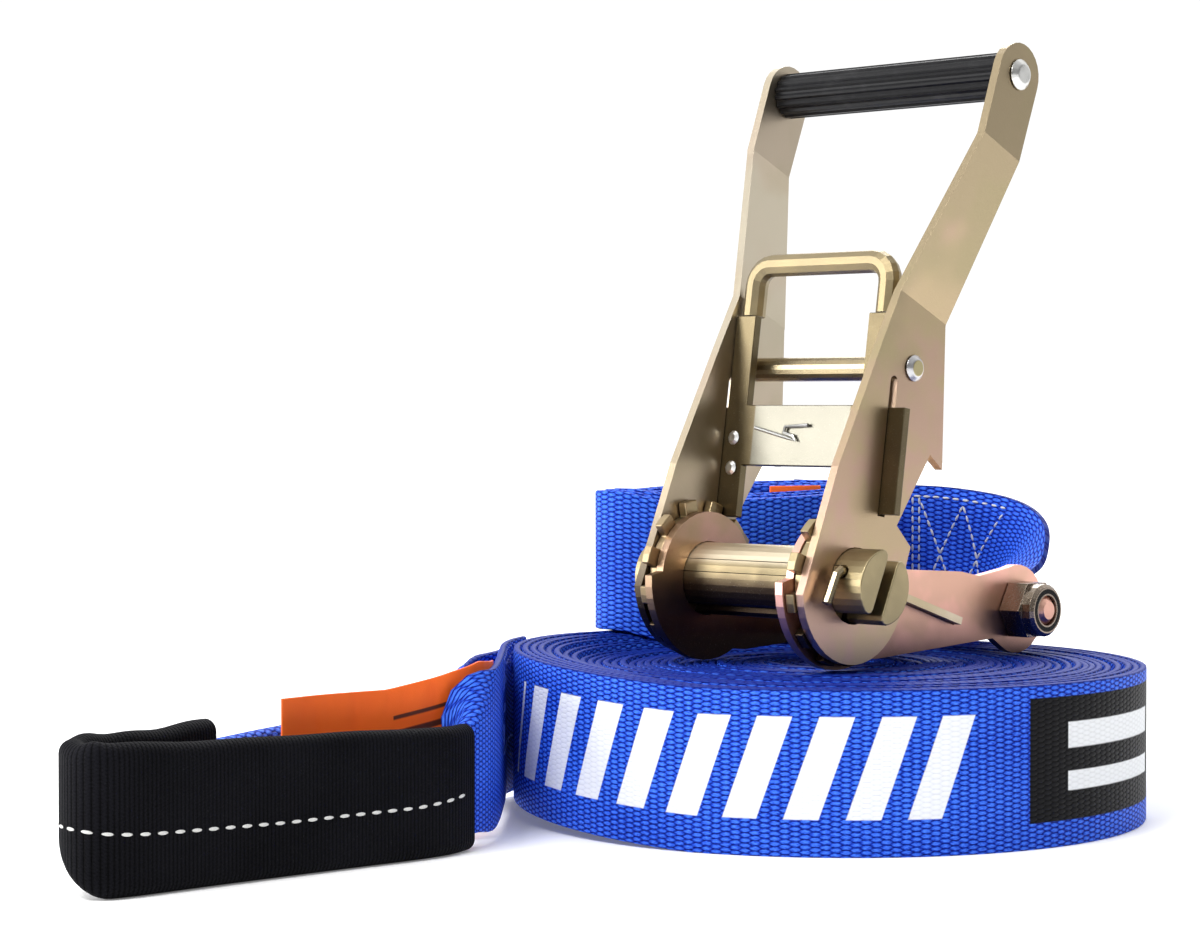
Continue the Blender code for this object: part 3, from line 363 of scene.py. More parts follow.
class Paint:
    """One finish being made: a Principled material and short ways to add its nodes."""

    def __init__(self, name, constants):
        self.material = bpy.data.materials.new(name)
        self.material.use_nodes = True
        self.tree = self.material.node_tree
        self.shader = self.tree.nodes["Principled BSDF"]
        for socket, value in constants.items():
            self.shader.inputs[socket].default_value = value

    def node(self, kind, settings=None, sockets=None):
        made = self.tree.nodes.new(kind)
        for name, value in (settings or {}).items():
            setattr(made, name, value)
        for name, value in (sockets or {}).items():
            self.feed(made.inputs[name], value)
        return made

    def feed(self, socket, value):
        if isinstance(value, Amount):
            value = value.socket
        if isinstance(value, bpy.types.NodeSocket):
            self.tree.links.new(value, socket)
        else:
            socket.default_value = value

    def maths(self, operation, *values):
        made = self.node("ShaderNodeMath", {"operation": operation}, dict(enumerate(values)))
        return Amount(self, made.outputs[0])

    def place(self):
        """Where the point is on the object, in metres."""
        return self.node("ShaderNodeTexCoord").outputs["Object"]

    def ratchet_place(self):
        """Where the point is on the ratchet: along its base, up from its spool, and out to its right."""
        parts = self.node("ShaderNodeSeparateXYZ", None, {"Vector": self.place()})
        x = Amount(self, parts.outputs["X"]) - SPOOL_PLACE[0]
        y = Amount(self, parts.outputs["Y"]) - SPOOL_PLACE[1]
        along = x * cos(RATCHET_TURN) + y * sin(RATCHET_TURN)
        out = x * sin(RATCHET_TURN) - y * cos(RATCHET_TURN)
        return along, Amount(self, parts.outputs["Z"]) - SPOOL_HEIGHT, out

    def strip_place(self):
        """How far the point is along its strip and across it, in metres."""
        spot = self.node("ShaderNodeTexCoord").outputs["UV"]
        parts = self.node("ShaderNodeSeparateXYZ", None, {"Vector": spot})
        return Amount(self, parts.outputs["X"]), Amount(self, parts.outputs["Y"])

    def noise(self, place, scale, detail=2.0, roughness=0.5):
        sockets = {"Vector": place, "Scale": scale, "Detail": detail, "Roughness": roughness}
        return Amount(self, self.node("ShaderNodeTexNoise", None, sockets).outputs["Fac"])

    def grain(self, along, across, fineness, detail, roughness=0.5):
        """Noise on a strip, as fine along and across it as the two numbers say."""
        sockets = {"X": along * fineness[0], "Y": across * fineness[1]}
        spot = self.node("ShaderNodeCombineXYZ", None, sockets).outputs[0]
        return self.noise(spot, 1.0, detail, roughness)

    def step(self, value, low, high):
        """0 below low, 1 above high, smooth between them."""
        settings = {"interpolation_type": "SMOOTHSTEP"}
        made = self.node("ShaderNodeMapRange", settings,
                         {"Value": value, "From Min": low, "From Max": high})
        return Amount(self, made.outputs["Result"])

    def inside(self, value, low, high, soft):
        """1 between low and high, 0 outside, with an edge this soft."""
        risen = self.step(value, low - soft, low + soft)
        return risen * (1 - self.step(value, high - soft, high + soft))

    def blend(self, share, first, second):
        """A colour between two colours."""
        made = self.node("ShaderNodeMix", {"data_type": "RGBA"}, {0: share, 6: first, 7: second})
        return made.outputs[2]

    def colour(self, value):
        self.feed(self.shader.inputs["Base Color"], value)

    def rough(self, value):
        self.feed(self.shader.inputs["Roughness"], value)

    def bump(self, height):
        """Height is in metres."""
        made = self.node("ShaderNodeBump", None, {"Height": height, "Distance": 1.0})
        self.feed(self.shader.inputs["Normal"], made.outputs[0])


def yarns(paint, along, across, length, width):
    """Height of a woven face, 0 to 1: columns of oval yarns, each half a yarn up from the last."""
    ovals = []
    for shift in (0.0, 0.5):
        over = (paint.maths("FRACT", along / (2 * length) + shift) * 2 - 1) / YARN_REACH
        up = paint.maths("FRACT", across / width + shift) * 2 - 1
        ovals.append(paint.maths("MAXIMUM", 1 - over * over - up * up, 0.0))
    return paint.maths("SQRT", paint.maths("MAXIMUM", *ovals))


def blue_webbing(name, yarn_width, printed=False):
    """Royal blue polyester webbing. The printed one carries plain slanted bars and a black patch."""
    paint = Paint(name, {"Specular IOR Level": 0.10})
    along, across = paint.strip_place()
    height = yarns(paint, along, across, YARN_LENGTH, yarn_width)
    threads = paint.grain(along, across, THREAD_GRAIN, 1.0)
    wander = paint.grain(along, across, FADING_GRAIN, 2.0)
    # Painted light and shade: yarn crowns and thread streaks are painted lighter and the gaps between yarns
    # darker; the wander is the cloth's own uneven tone
    tone = height * 0.75 + (threads - 0.5) * 0.8 + 0.1 + (wander - 0.5) * 0.25
    colour = paint.blend(paint.step(tone, 0.25, 0.75), BLUE_DEEP, BLUE_MIDDLE)
    colour = paint.blend(paint.step(tone, 0.5, 1.05), colour, BLUE_LIGHT)
    # Painted shade: the upper rim is darkened towards the deep blue
    rim = paint.step(across, WEBBING_WIDTH - WEBBING_EDGE, WEBBING_WIDTH - WEBBING_EDGE * 0.2)
    colour = paint.blend(rim * RIM_PAINTED_SHADE, colour, BLUE_DEEP)
    relief = height * YARN_HEIGHT + threads * THREAD_HEIGHT
    if printed:
        colour, ink = line_print(paint, colour, along, across, height)
        relief = relief * (1 - ink * INK_FILLS)
    paint.colour(colour)
    paint.rough(0.62 - height * 0.14)
    paint.bump(relief)
    return paint.material


def line_print(paint, colour, along, across, height):
    """The colour with slanted white bars and a black patch with two white lines, and where ink lies."""
    slanted = along + across * PRINT_SLANT
    share = paint.maths("FRACT", slanted / PRINT_PERIOD)
    bars = paint.inside(share, PRINT_GAP, PRINT_GAP + PRINT_BAR / PRINT_PERIOD, PRINT_GAP_EDGE)
    bars = bars * paint.inside(across, PRINT_FOOT, PRINT_TOP, PRINT_EDGE)
    bars = bars * paint.inside(slanted, PRINT_START, PRINT_STOP, PRINT_EDGE)
    patch = paint.inside(along, PATCH_START, PATCH_STOP, PRINT_EDGE)
    patch = patch * paint.inside(across, PATCH_FOOT, PATCH_TOP, PRINT_EDGE)
    lines = paint.inside(along, PATCH_LINES_START, PATCH_LINES_STOP, PRINT_EDGE)
    upper, lower = [paint.inside(across, foot, top, PRINT_EDGE) for foot, top in PATCH_LINES]
    ink = paint.maths("MAXIMUM", bars, lines * (upper + lower) * patch)
    # Painted shade: the black patch is darker in the gaps between yarns
    colour = paint.blend(patch, colour, paint.blend(height, PATCH_DARK, PATCH_BLACK))
    return paint.blend(ink * (0.86 + height * 0.14), colour, INK_WHITE), ink


def black_ribbed_weave(name):
    """The sleeve's black cloth, with ribs square to its length."""
    paint = Paint(name, {"Specular IOR Level": 0.04})
    along, across = paint.strip_place()
    ribs = paint.maths("SQRT", paint.maths("ABSOLUTE", paint.maths("SINE", along * (pi / SLEEVE_RIB))))
    height = ribs * 0.75 + yarns(paint, along, across, SLEEVE_RIB, SLEEVE_YARN) * 0.25
    wander = paint.grain(along, across, SLEEVE_FADING_GRAIN, 3.0)
    fluff = paint.grain(along, across, SLEEVE_FLUFF_GRAIN, 1.0)
    # Painted light and shade: rib crests are painted lighter and the hollows between ribs darker; fluff and
    # wander are the cloth's own
    tone = height * 0.7 + fluff * 0.35 + (wander - 0.5) * 0.5
    paint.colour(paint.blend(paint.step(tone, 0.3, 1.1), SLEEVE_DARK, SLEEVE_BLACK))
    paint.rough(0.72 - fluff * 0.12)
    paint.bump(height * SLEEVE_RIB_HEIGHT + fluff * 0.0001)
    return paint.material


def orange_label(name, width, printed):
    """Satin label cloth with one block of plain printed lines, and soft creases."""
    paint = Paint(name, {"Specular IOR Level": 0.4})
    along, across = paint.strip_place()
    weave = paint.grain(along, across, LABEL_WEAVE_GRAIN, 1.0)
    crease = paint.grain(along, across, LABEL_CREASE_GRAIN, 3.0, 0.6)
    lines = paint.inside(paint.maths("FRACT", across / LABEL_LINE_STEP), 0.25, 0.62, 0.06)
    block = paint.inside(along, printed[0], printed[1], LABEL_PRINT_EDGE)
    block = block * paint.inside(across, width * 0.18, width * 0.82, LABEL_PRINT_EDGE)
    colour = paint.blend(crease, ORANGE, ORANGE_LIGHT)
    colour = paint.blend(lines * block * 0.92, colour, LABEL_INK)
    paint.colour(colour)
    paint.rough(0.42 + weave * 0.2)
    paint.bump(weave * 0.00006 + crease * 0.0012)
    return paint.material


def thread(name, colour):
    """Sewing thread, twisted."""
    paint = Paint(name, {"Specular IOR Level": 0.35})
    twist = paint.noise(paint.place(), THREAD_TWIST, 1.0)
    dull = tuple(c * 0.62 for c in colour[:3]) + (1,)
    paint.colour(paint.blend(twist, dull, colour))
    paint.rough(0.7 - twist * 0.1)
    paint.bump(twist * 0.00012)
    return paint.material


def slider_middle(paint):
    """The slider's cross plate between its two legs, painted paler and greyer as a painted reflection of
    the key light.
    """
    out = paint.ratchet_place()[2]
    return paint.inside(out, -SLIDER_BRIGHT_HALF, SLIDER_BRIGHT_HALF, 0.0004)


def upper_part(paint):
    """The handle's upper half, in patches: on the right plate its coat is greener there, and on the left
    plate it is painted paler, as painted light.
    """
    up = paint.ratchet_place()[1]
    patches = paint.step(paint.noise(paint.place(), UPPER_PATCHES), 0.40, 0.55)
    return paint.step(up, *UPPER_PART) * (0.30 + 0.55 * patches)


def painted_shaft_highlight(paint):
    """The band along the shafts' upper side, between the plates, painted bright as a painted highlight."""
    up, out = paint.ratchet_place()[1:]
    return paint.inside(up, *SHAFT_HIGHLIGHT_BAND, 0.0015) * paint.inside(out, -BETWEEN_PLATES, BETWEEN_PLATES, 0.001)


def lock_ring(paint):
    """The black nylon ring in the end of the nut."""
    out = paint.ratchet_place()[2]
    ring = paint.inside(from_axis(paint, BOLT_PLACE), *LOCK_RING, 0.0001)
    return ring * paint.step(out, *LOCK_RING_OUT)


def from_axis(paint, axis):
    """How far a point is from an axis that crosses the ratchet, given by its place in the side view."""
    along, up = paint.ratchet_place()[:2]
    across, above = along - axis[0], up - axis[1]
    return paint.maths("SQRT", across * across + above * above)


def rivet_middle(paint):
    """The end of the cross tube's pin, set in its ring."""
    return 1 - paint.step(from_axis(paint, CROSS_TUBE_PLACE), CROSS_PIN - 0.0002, CROSS_PIN)


def passivated_steel(name, shine=0.0, where=None, special=None, shade=None):
    """Pressed steel with a yellow passivated coat: its body tone drifts to its cast, finely speckled.

    Special is the colour where the given function says, and shade is one of the painted shades named above,
    which darken the coat towards the bottom.
    """
    body, cast, roughness = COATS[name]
    paint = Paint(name, {"Metallic": 1.0})
    spot = paint.place()
    cloud = paint.noise(spot, COAT_CLOUDS, 3.0, 0.55)
    drift = paint.noise(spot, COAT_DRIFT, 2.0, 0.5)
    speckle = paint.noise(spot, COAT_SPECKLE, 2.0, 0.7)
    mixed = paint.step(cloud, 0.42, 0.60) * 0.7 + paint.step(drift, 0.5, 0.7) * 0.3
    colour = paint.blend(mixed, body, cast)
    if where:
        colour = paint.blend(where(paint), colour, special)
    # Painted shade: the coat darkens towards the bottom, within the given reach
    if shade:
        low, high, reach = shade
        up, out = paint.ratchet_place()[1:]
        clean = paint.step(up + (drift - 0.5) * SHADE_WANDER, low, high)
        beyond = paint.step(paint.maths("ABSOLUTE", out), reach, reach + 0.001)
        colour = paint.blend(paint.maths("MAXIMUM", clean, beyond), PAINTED_SHADE_BROWN, colour)
    colour = paint.blend(paint.step(speckle, 0.60, 0.80) * (0.18 + shine), colour, PALE_SPECKLE)
    paint.colour(colour)
    paint.rough(roughness + (speckle - 0.5) * 0.20 + (cloud - 0.5) * 0.10)
    paint.bump(speckle * 0.00005)
    return paint.material


def plated_steel(name, colour, where=None, special=None):
    """Bright plated wire and rivets, with fine scratches."""
    paint = Paint(name, {"Metallic": 1.0})
    spot = paint.place()
    scratch = paint.noise(spot, ZINC_SCRATCHES, 3.0, 0.7)
    cloud = paint.noise(spot, ZINC_CLOUDS, 2.0)
    dull = tuple(c * 0.72 for c in colour[:3]) + (1,)
    mixed = paint.blend(paint.step(cloud, 0.35, 0.7), dull, colour)
    if where:
        mixed = paint.blend(where(paint), mixed, special)
    paint.colour(mixed)
    paint.rough(0.20 + scratch * 0.22)
    paint.bump(scratch * 0.00003)
    return paint.material


def black_grip_plastic(name):
    """Moulded black plastic with a fine grain and a little dust in patches."""
    paint = Paint(name, {"Specular IOR Level": 0.16})
    spot = paint.place()
    grain = paint.noise(spot, GRIP_GRAIN, 2.0)
    dust = paint.noise(spot, GRIP_DUST, 3.0, 0.6)
    paint.colour(paint.blend(paint.step(dust, 0.5, 0.85), GRIP_BLACK, GRIP_DUSTY))
    paint.rough(0.30 + grain * 0.2)
    paint.bump(grain * 0.00005)
    return paint.material


def studio_white(name):
    """The pale floor that everything stands on."""
    paint = Paint(name, {"Roughness": 0.85, "Specular IOR Level": 0.1, "Emission Strength": 1.0})
    place = paint.place()
    tone = paint.noise(place, 1.5, 2.0)
    paint.colour(paint.blend(tone, FLOOR_WHITE, FLOOR_WHITER))
    parts = paint.node("ShaderNodeSeparateXYZ", None, {"Vector": place})
    far = paint.step(Amount(paint, parts.outputs["Y"]), *GLOW_CHANGES)
    paint.feed(paint.shader.inputs["Emission Color"], paint.blend(far, GLOW_NEAR, GLOW_FAR))
    return paint.material


def rest_all():
    """Deselect everything."""
    for thing in bpy.context.selected_objects:
        thing.select_set(False)


def pick(piece):
    """Make this the one selected piece."""
    rest_all()
    piece.select_set(True)
    bpy.context.view_layer.objects.active = piece


def apply_step(piece, kind, **settings):
    """Add one modifier and apply it."""
    pick(piece)
    step = piece.modifiers.new(kind.lower(), kind)
    for name, value in settings.items():
        setattr(step, name, value)
    bpy.ops.object.modifier_apply(modifier=step.name)


def settle(piece):
    """Put a finished piece's place into its mesh."""
    pick(piece)
    bpy.ops.object.transform_apply(location=True, rotation=True, scale=True)
    return piece


def smooth_route(points, steps):
    """A smooth line through given points, with this many steps between them."""
    spots = [Vector(p) for p in points]
    spots = [2 * spots[0] - spots[1]] + spots + [2 * spots[-1] - spots[-2]]
    route = []
    for a, b, c, d in zip(spots, spots[1:], spots[2:], spots[3:]):
        for i in range(steps):
            k = i / steps
            route.append(
                (2 * b + (c - a) * k + (2 * a - 5 * b + 4 * c - d) * k**2
                 + (3 * b - a - 3 * c + d) * k**3) / 2
            )
    route.append(spots[-2])
    return route


def running(points):
    """How far along a line each of its points is."""
    reached = [0.0]
    for point, after in zip(points, points[1:]):
        reached.append(reached[-1] + (after - point).length)
    return reached


def middle_run(rows):
    """How far along the middle of a strip each of its rows is."""
    return running([Vector(row[len(row) // 2]) for row in rows])


def cloth_grid(name, rows, along, across):
    """A grid laid through rows of points. Its UVs say how far along and across the cloth they are."""
    lengths, lanes = len(rows) - 1, len(rows[0]) - 1
    rest_all()
    bpy.ops.mesh.primitive_grid_add(x_subdivisions=lengths, y_subdivisions=lanes, size=2)
    piece = bpy.context.object
    piece.name = name
    places = []
    for vertex in piece.data.vertices:
        places.append((round((vertex.co.x + 1) / 2 * lengths), round((vertex.co.y + 1) / 2 * lanes)))
    uv = piece.data.uv_layers.active.data
    for loop in piece.data.loops:
        row, lane = places[loop.vertex_index]
        uv[loop.index].uv = (along[row], across[row][lane])
    for vertex, (row, lane) in zip(piece.data.vertices, places):
        vertex.co = rows[row][lane]
    return piece


def cloth_strip(name, rows, thickness, edge=WEBBING_EDGE):
    """A strip of cloth through rows of points, each row running across it."""
    rows = [[Vector(point) for point in row] for row in rows]
    width = running(rows[0])[-1]
    across = []
    for row in rows:
        steps = running(row)
        across.append([step * width / steps[-1] for step in steps])
    piece = cloth_grid(name, rows, middle_run(rows), across)
    apply_step(piece, "SOLIDIFY", thickness=thickness, offset=0, use_even_offset=True)
    apply_step(piece, "BEVEL", width=edge, segments=2, limit_method="ANGLE", angle_limit=radians(60))
    bpy.ops.object.shade_smooth()
    return settle(piece)


def upright_row(x, y, foot, top, lanes=LANES):
    """Points of a strip standing on its edge."""
    return [(x, y, foot + (top - foot) * i / lanes) for i in range(lanes + 1)]


def ease(value, low, high):
    """0 below low, 1 above high, smooth between them."""
    share = max(0, min(1, (value - low) / (high - low)))
    return share * share * (3 - 2 * share)


def between(points, share):
    """The height at this share, on straight lines through points given as share and height."""
    for (before, low), (after, high) in zip(points, points[1:]):
        if share <= after:
            break
    return low + (high - low) * (share - before) / (after - before)


def ride_up(x, y):
    """How far the main line stands up off the ground here."""
    out = hypot(x, y)
    reach = ease(out, *RIDE_UP_FROM) * (1 - ease(out, *RIDE_UP_TO))
    turn = (atan2(y, x) % tau - RIDE_UP_ANGLE) * RIDE_UP_SPREAD
    return RIDE_UP * reach * (cos(turn) if abs(turn) < pi / 2 else 0)


def main_coil_rows():
    """The wound main line, from where it leaves the coil in to its middle. Turns bunch and open."""
    count = COIL_TURNS * TURN_POINTS
    rows = []
    for i in range(count + 1):
        turns_in = i / TURN_POINTS
        angle = COIL_END_ANGLE - tau * turns_in
        settled = min(1, turns_in / 2)
        bunch = sin(tau * turns_in / BUNCH_TURNS + angle) + COIL_OVAL * sin(2 * angle + turns_in)
        radius = COIL_RADIUS - COIL_PITCH * turns_in + COIL_LEAN * settled * bunch
        dip = sin(DIP_PER_TURN * turns_in + DIP_SWAY * sin(angle + turns_in)) ** 2
        dip *= 0.5 + 0.5 * sin(DEEP_DIP_PER_TURN * turns_in) ** 2
        top = WEBBING_WIDTH - COIL_LOW_EDGE * settled * dip
        x, y = radius * cos(angle), radius * sin(angle)
        foot = ride_up(x, y)
        rows.append(upright_row(x, y, foot, foot + top))
    return rows


class Strip:
    """A strip's rows of points, so that stitches are placed by how far along and across they are."""

    def __init__(self, rows):
        self.rows = [[Vector(point) for point in row] for row in rows]
        self.along = middle_run(rows)

    def spot(self, along, share):
        """The point this far along the strip and this share of the way across it."""
        i = min(len(self.rows) - 2, max(0, bisect_right(self.along, along) - 1))
        part_way = (along - self.along[i]) / (self.along[i + 1] - self.along[i])
        lane = share * (len(self.rows[0]) - 1)
        j = min(len(self.rows[0]) - 2, int(lane))
        ends = [row[j].lerp(row[j + 1], lane - j) for row in self.rows[i:i + 2]]
        return ends[0].lerp(ends[1], part_way)

    def seam(self, corners, lift, step=STITCH_STEP):
        """Middle and run of each stitch on lines between corners, this far off the strip's middle."""
        places = []
        for (along, share), (next_along, next_share) in zip(corners, corners[1:]):
            rise = (next_share - share) * WEBBING_WIDTH
            count = max(1, round(hypot(next_along - along, rise) / step))
            for k in range(count):
                ends = []
                for reach in STITCH_SPAN:
                    reach = (k + reach) / count
                    there = along + (next_along - along) * reach
                    ends.append(self.spot(there, share + (next_share - share) * reach))
                middle = along + (next_along - along) * (k + 0.5) / count
                forward = self.spot(middle + step, 0.5) - self.spot(middle - step, 0.5)
                across = self.spot(middle, 0.8) - self.spot(middle, 0.2)
                face = forward.cross(across).normalized()
                places.append(((ends[0] + ends[1]) / 2 + face * lift, ends[1] - ends[0]))
        return places


def folded_share(i):
    """How far the free end is folded at this row: 1 in the sleeve, rolling open beyond both its ends."""
    point = i / ROUTE_STEPS
    start = (point - FOLD_FIRST) / UNFOLD_BEFORE + 1
    stop = (SLEEVE_LAST + 1 - point) / UNFOLD_AFTER + 1
    return ease(min(start, stop), 0, 1)


def eye_route():
    """The free end's route: out of the coil, round through the eye and back to the coil."""
    start = Vector((COIL_RADIUS * cos(COIL_END_ANGLE), COIL_RADIUS * sin(COIL_END_ANGLE)))
    return smooth_route([tuple(start)] + EYE_ROUTE, ROUTE_STEPS)


def sideways(route, i):
    """Which way is left of a flat route at its point i."""
    run = route[min(i + 1, len(route) - 1)] - route[max(i - 1, 0)]
    return Vector((-run.y, run.x)).normalized()


def eye_rows(route):
    """The free end, its upper edge folding in and down where it goes into the sleeve."""
    rows = []
    for i, spot in enumerate(route):
        inwards = sideways(route, i)
        fold = folded_share(i)
        point = i / ROUTE_STEPS
        sunk = min(1, point / LEAVES_RIDE) if point < SLEEVE_FIRST else 0
        foot = FOLDED_FOOT * fold + ride_up(*spot) * (1 - sunk)
        upright = FOLDED_WIDTH + (WEBBING_WIDTH - FOLDED_WIDTH) * FOLD_SLIDE * (1 - fold)
        height = foot + upright
        foot += sleeve_lift(route, i)
        row = upright_row(spot.x, spot.y, foot, height)
        flap = WEBBING_WIDTH - upright
        bend = flap + (pi * FOLD_RADIUS - flap) * fold
        off, reached = 0.0, 0.0
        for length in FLAP_SHARES:
            length *= flap
            angle = FOLD_ANGLE * fold * min(1, (reached + length / 2) / bend)
            reached += length
            off += sin(angle) * length
            height += cos(angle) * length
            row.append((spot.x + inwards.x * off, spot.y + inwards.y * off, height))
        rows.append(row)
    return rows


def sleeve_lift(route, i):
    """How far the sleeve's foot stands off the floor where it turns, as a rounded corner."""
    reach = route[i].x - min(spot.x for spot in route)
    share = max(0, 1 - reach / SLEEVE_CORNER)
    return SLEEVE_CORNER * (1 - sqrt(1 - share * share))


def sleeve_section(half_depth, foot, height):
    """Half-round ends and straight sides of the flat hose, once round from its foot."""
    low, high = foot + half_depth, height - half_depth

    def bend(start, quarters, middle):
        angles = [start + pi / 2 * k / BEND_STEPS for k in range(quarters * BEND_STEPS + 1)]
        return [(half_depth * cos(angle), middle + half_depth * sin(angle)) for angle in angles]

    def side(off, start, stop):
        return [(off, start + (stop - start) * k / SIDE_STEPS) for k in range(1, SIDE_STEPS)]

    outside = bend(-pi / 2, 1, low) + side(half_depth, low, high)
    inside = side(-half_depth, high, low) + bend(pi, 1, low)
    return outside + bend(0, 2, high) + inside


def sleeve_size(share):
    """Half depth and height of the sleeve at this share of its length."""
    swell = 1 + SLEEVE_SWELL * sin(pi * share) ** 2 + SLEEVE_WAVE * (1 + sin(SLEEVE_WAVES * share))
    droop = max(0, share - DROOP_FROM) / (1 - DROOP_FROM)
    ripple = sum(size * sin(count * share + start) for size, count, start in TOP_RIPPLES)
    height = SLEEVE_HEIGHT + (SLEEVE_END_HEIGHT - SLEEVE_HEIGHT) * ease(droop, 0, 1)
    return SLEEVE_HALF_DEPTH * swell, height + ripple * (1 - droop)


def sleeve_rows(route):
    """The flat hose over the eye, from row to row once round it."""
    first, last = (SLEEVE_FIRST + 1) * ROUTE_STEPS, (SLEEVE_LAST + 1) * ROUTE_STEPS
    rows = []
    for i in range(first, last + 1):
        inwards = sideways(route, i)
        middle = route[i] + inwards * FOLD_RADIUS
        half_depth, height = sleeve_size((i - first) / (last - first))
        section = sleeve_section(half_depth, sleeve_lift(route, i), height)
        rows.append([(middle.x + inwards.x * off, middle.y + inwards.y * off, z) for off, z in section])
    return rows


def closed_sleeve(name, rows, wall):
    """A hose from rows that each go once round it."""
    rows = [[Vector(point) for point in row] for row in rows]
    along = [0.0]
    for row, after in zip(rows, rows[1:]):
        steps = [(b - a).length for a, b in zip(row, after)]
        along.append(along[-1] + sum(steps) / len(steps))
    piece = cloth_grid(name, rows, along, [running(rows[0])] * len(rows))
    pick(piece)
    bpy.ops.object.mode_set(mode="EDIT")
    bpy.ops.mesh.select_all(action="SELECT")
    bpy.ops.mesh.remove_doubles(threshold=SAME_POINT)
    bpy.ops.mesh.normals_make_consistent(inside=False)
    bpy.ops.object.mode_set(mode="OBJECT")
    apply_step(piece, "SOLIDIFY", thickness=wall, offset=-1, use_even_offset=True)
    bpy.ops.object.shade_smooth_by_angle(angle=radians(50))
    return settle(piece)


def one_stitch():
    """A short round-ended stitch, lying along X."""
    rest_all()
    bpy.ops.mesh.primitive_uv_sphere_add(segments=8, ring_count=6, radius=1)
    stitch = bpy.context.object
    pick(stitch)
    bpy.ops.object.mode_set(mode="EDIT")
    bpy.ops.mesh.select_all(action="SELECT")
    bpy.ops.transform.resize(value=(STITCH_LENGTH / 2, STITCH_RADIUS, STITCH_RADIUS))
    bpy.ops.object.mode_set(mode="OBJECT")
    bpy.ops.object.shade_smooth()
    return stitch


def stitches(name, places, look, holder, length=1.0, stout=1.0):
    """Stitches at these places, each given as its middle and the way it runs, as one piece."""
    pattern = one_stitch()
    made = []
    for middle, run in places:
        copy = pattern.copy()
        copy.data = pattern.data.copy()
        bpy.context.scene.collection.objects.link(copy)
        copy.location = middle
        copy.rotation_mode = "QUATERNION"
        copy.rotation_quaternion = Vector(run).to_track_quat("X", "Z")
        copy.scale = (length, stout, stout)
        made.append(copy)
    bpy.data.objects.remove(pattern)
    pick(made[0])
    for copy in made:
        copy.select_set(True)
    bpy.context.view_layer.objects.active = made[0]
    bpy.ops.object.join()
    piece = bpy.context.object
    piece.name = name
    settle(piece)
    piece.data.materials.append(look)
    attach(piece, holder)
    return piece


def dress(piece, look, replaced):
    """Give a piece its material and its body, and hide the nodes that it stands for."""
    piece.data.materials.clear()
    piece.data.materials.append(look)
    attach(piece, "base")
    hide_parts(*replaced)


def strip_length(rows):
    """Length of a strip along its middle."""
    return middle_run(rows)[-1]


def main_line():
    """The wound line, and its free end with sleeve, stitches and label."""
    printed = blue_webbing("printed_blue_webbing", LINE_YARN_WIDTH, printed=True)
    plain = blue_webbing("plain_blue_webbing", LINE_YARN_WIDTH)
    black = black_ribbed_weave("black_ribbed_weave")
    white = thread("white_thread", THREAD_WHITE)
    rows = main_coil_rows()
    coil = cloth_strip("main_line_wound", rows, WEBBING_THICKNESS)
    dress(coil, printed, ("main_webbing_coil", "main_coil_core"))
    round(strip_length(rows), 2)
    route = eye_route()
    rows = eye_rows(route)
    free_end = cloth_strip("main_line_free_end", rows, WEBBING_THICKNESS)
    dress(free_end, plain, ("main_line_eye",))
    sewn = box_stitches(Strip(rows), thread("blue_thread", THREAD_BLUE))
    round(strip_length(rows), 2)
    rows = sleeve_rows(route)
    sleeve = closed_sleeve("sleeve_of_eye", rows, SLEEVE_WALL)
    dress(sleeve, black, ("eye_sleeve",))
    sewn = sleeve_stitches(route, white)
    round(strip_length(rows), 3)
    label_route = smooth_route(LABEL_ROUTE, ROUTE_STEPS)
    rows = []
    for i, (x, y) in enumerate(label_route):
        lift = between(LABEL_LIFTS, i / (len(label_route) - 1))
        rows.append(upright_row(x, y, lift, LABEL_HEIGHT + lift))
    label = cloth_strip("label_of_eye", rows, LABEL_THICKNESS, LABEL_EDGE)
    look = orange_label("orange_eye_label", LABEL_HEIGHT, LABEL_PRINT)
    dress(label, look, ("eye_label",))
    round(strip_length(rows), 3)


def sleeve_stitches(route, look):
    """A dashed seam along the middle of the sleeve, outside and inside the eye."""
    first, last = (SLEEVE_FIRST + 1) * ROUTE_STEPS, (SLEEVE_LAST + 1) * ROUTE_STEPS
    places = []
    for side in (1, -1):
        rows = []
        for i in range(first, last + 1):
            share = (i - first) / (last - first)
            off = sideways(route, i) * (FOLD_RADIUS + side * sleeve_size(share)[0])
            height = between(SEAM_HEIGHTS, share)
            middle = Vector((route[i].x + off.x, route[i].y + off.y, height))
            rows.append([middle - Vector((0, 0, STITCH_LENGTH)), middle + Vector((0, 0, STITCH_LENGTH))])
        strip = Strip(rows)
        ends = [(STITCH_STEP, 0.5), (strip.along[-1] - STITCH_STEP, 0.5)]
        places += strip.seam(ends, side * STITCH_LIFT)
    return stitches("sleeve_seam", places, look, "base")


def box_stitches(strip, look):
    """The blue stitching that holds the free end to the wound line, as a box with a cross."""
    stop = strip.along[-1] - BOX_SEAM_TO_END
    start = stop - BOX_SEAM_LENGTH
    low, high = BOX_SEAM_SHARES
    box = [(start, low), (stop, low), (stop, high), (start, high), (start, low)]
    lift = WEBBING_THICKNESS / 2 + STITCH_LIFT
    places = []
    for corners in (box, [(start, low), (stop, high)], [(start, high), (stop, low)]):
        places += strip.seam(corners, lift)
        places += strip.seam(corners, -lift)
    return stitches("free_end_stitching", places, look, "base", 0.9, 0.8)


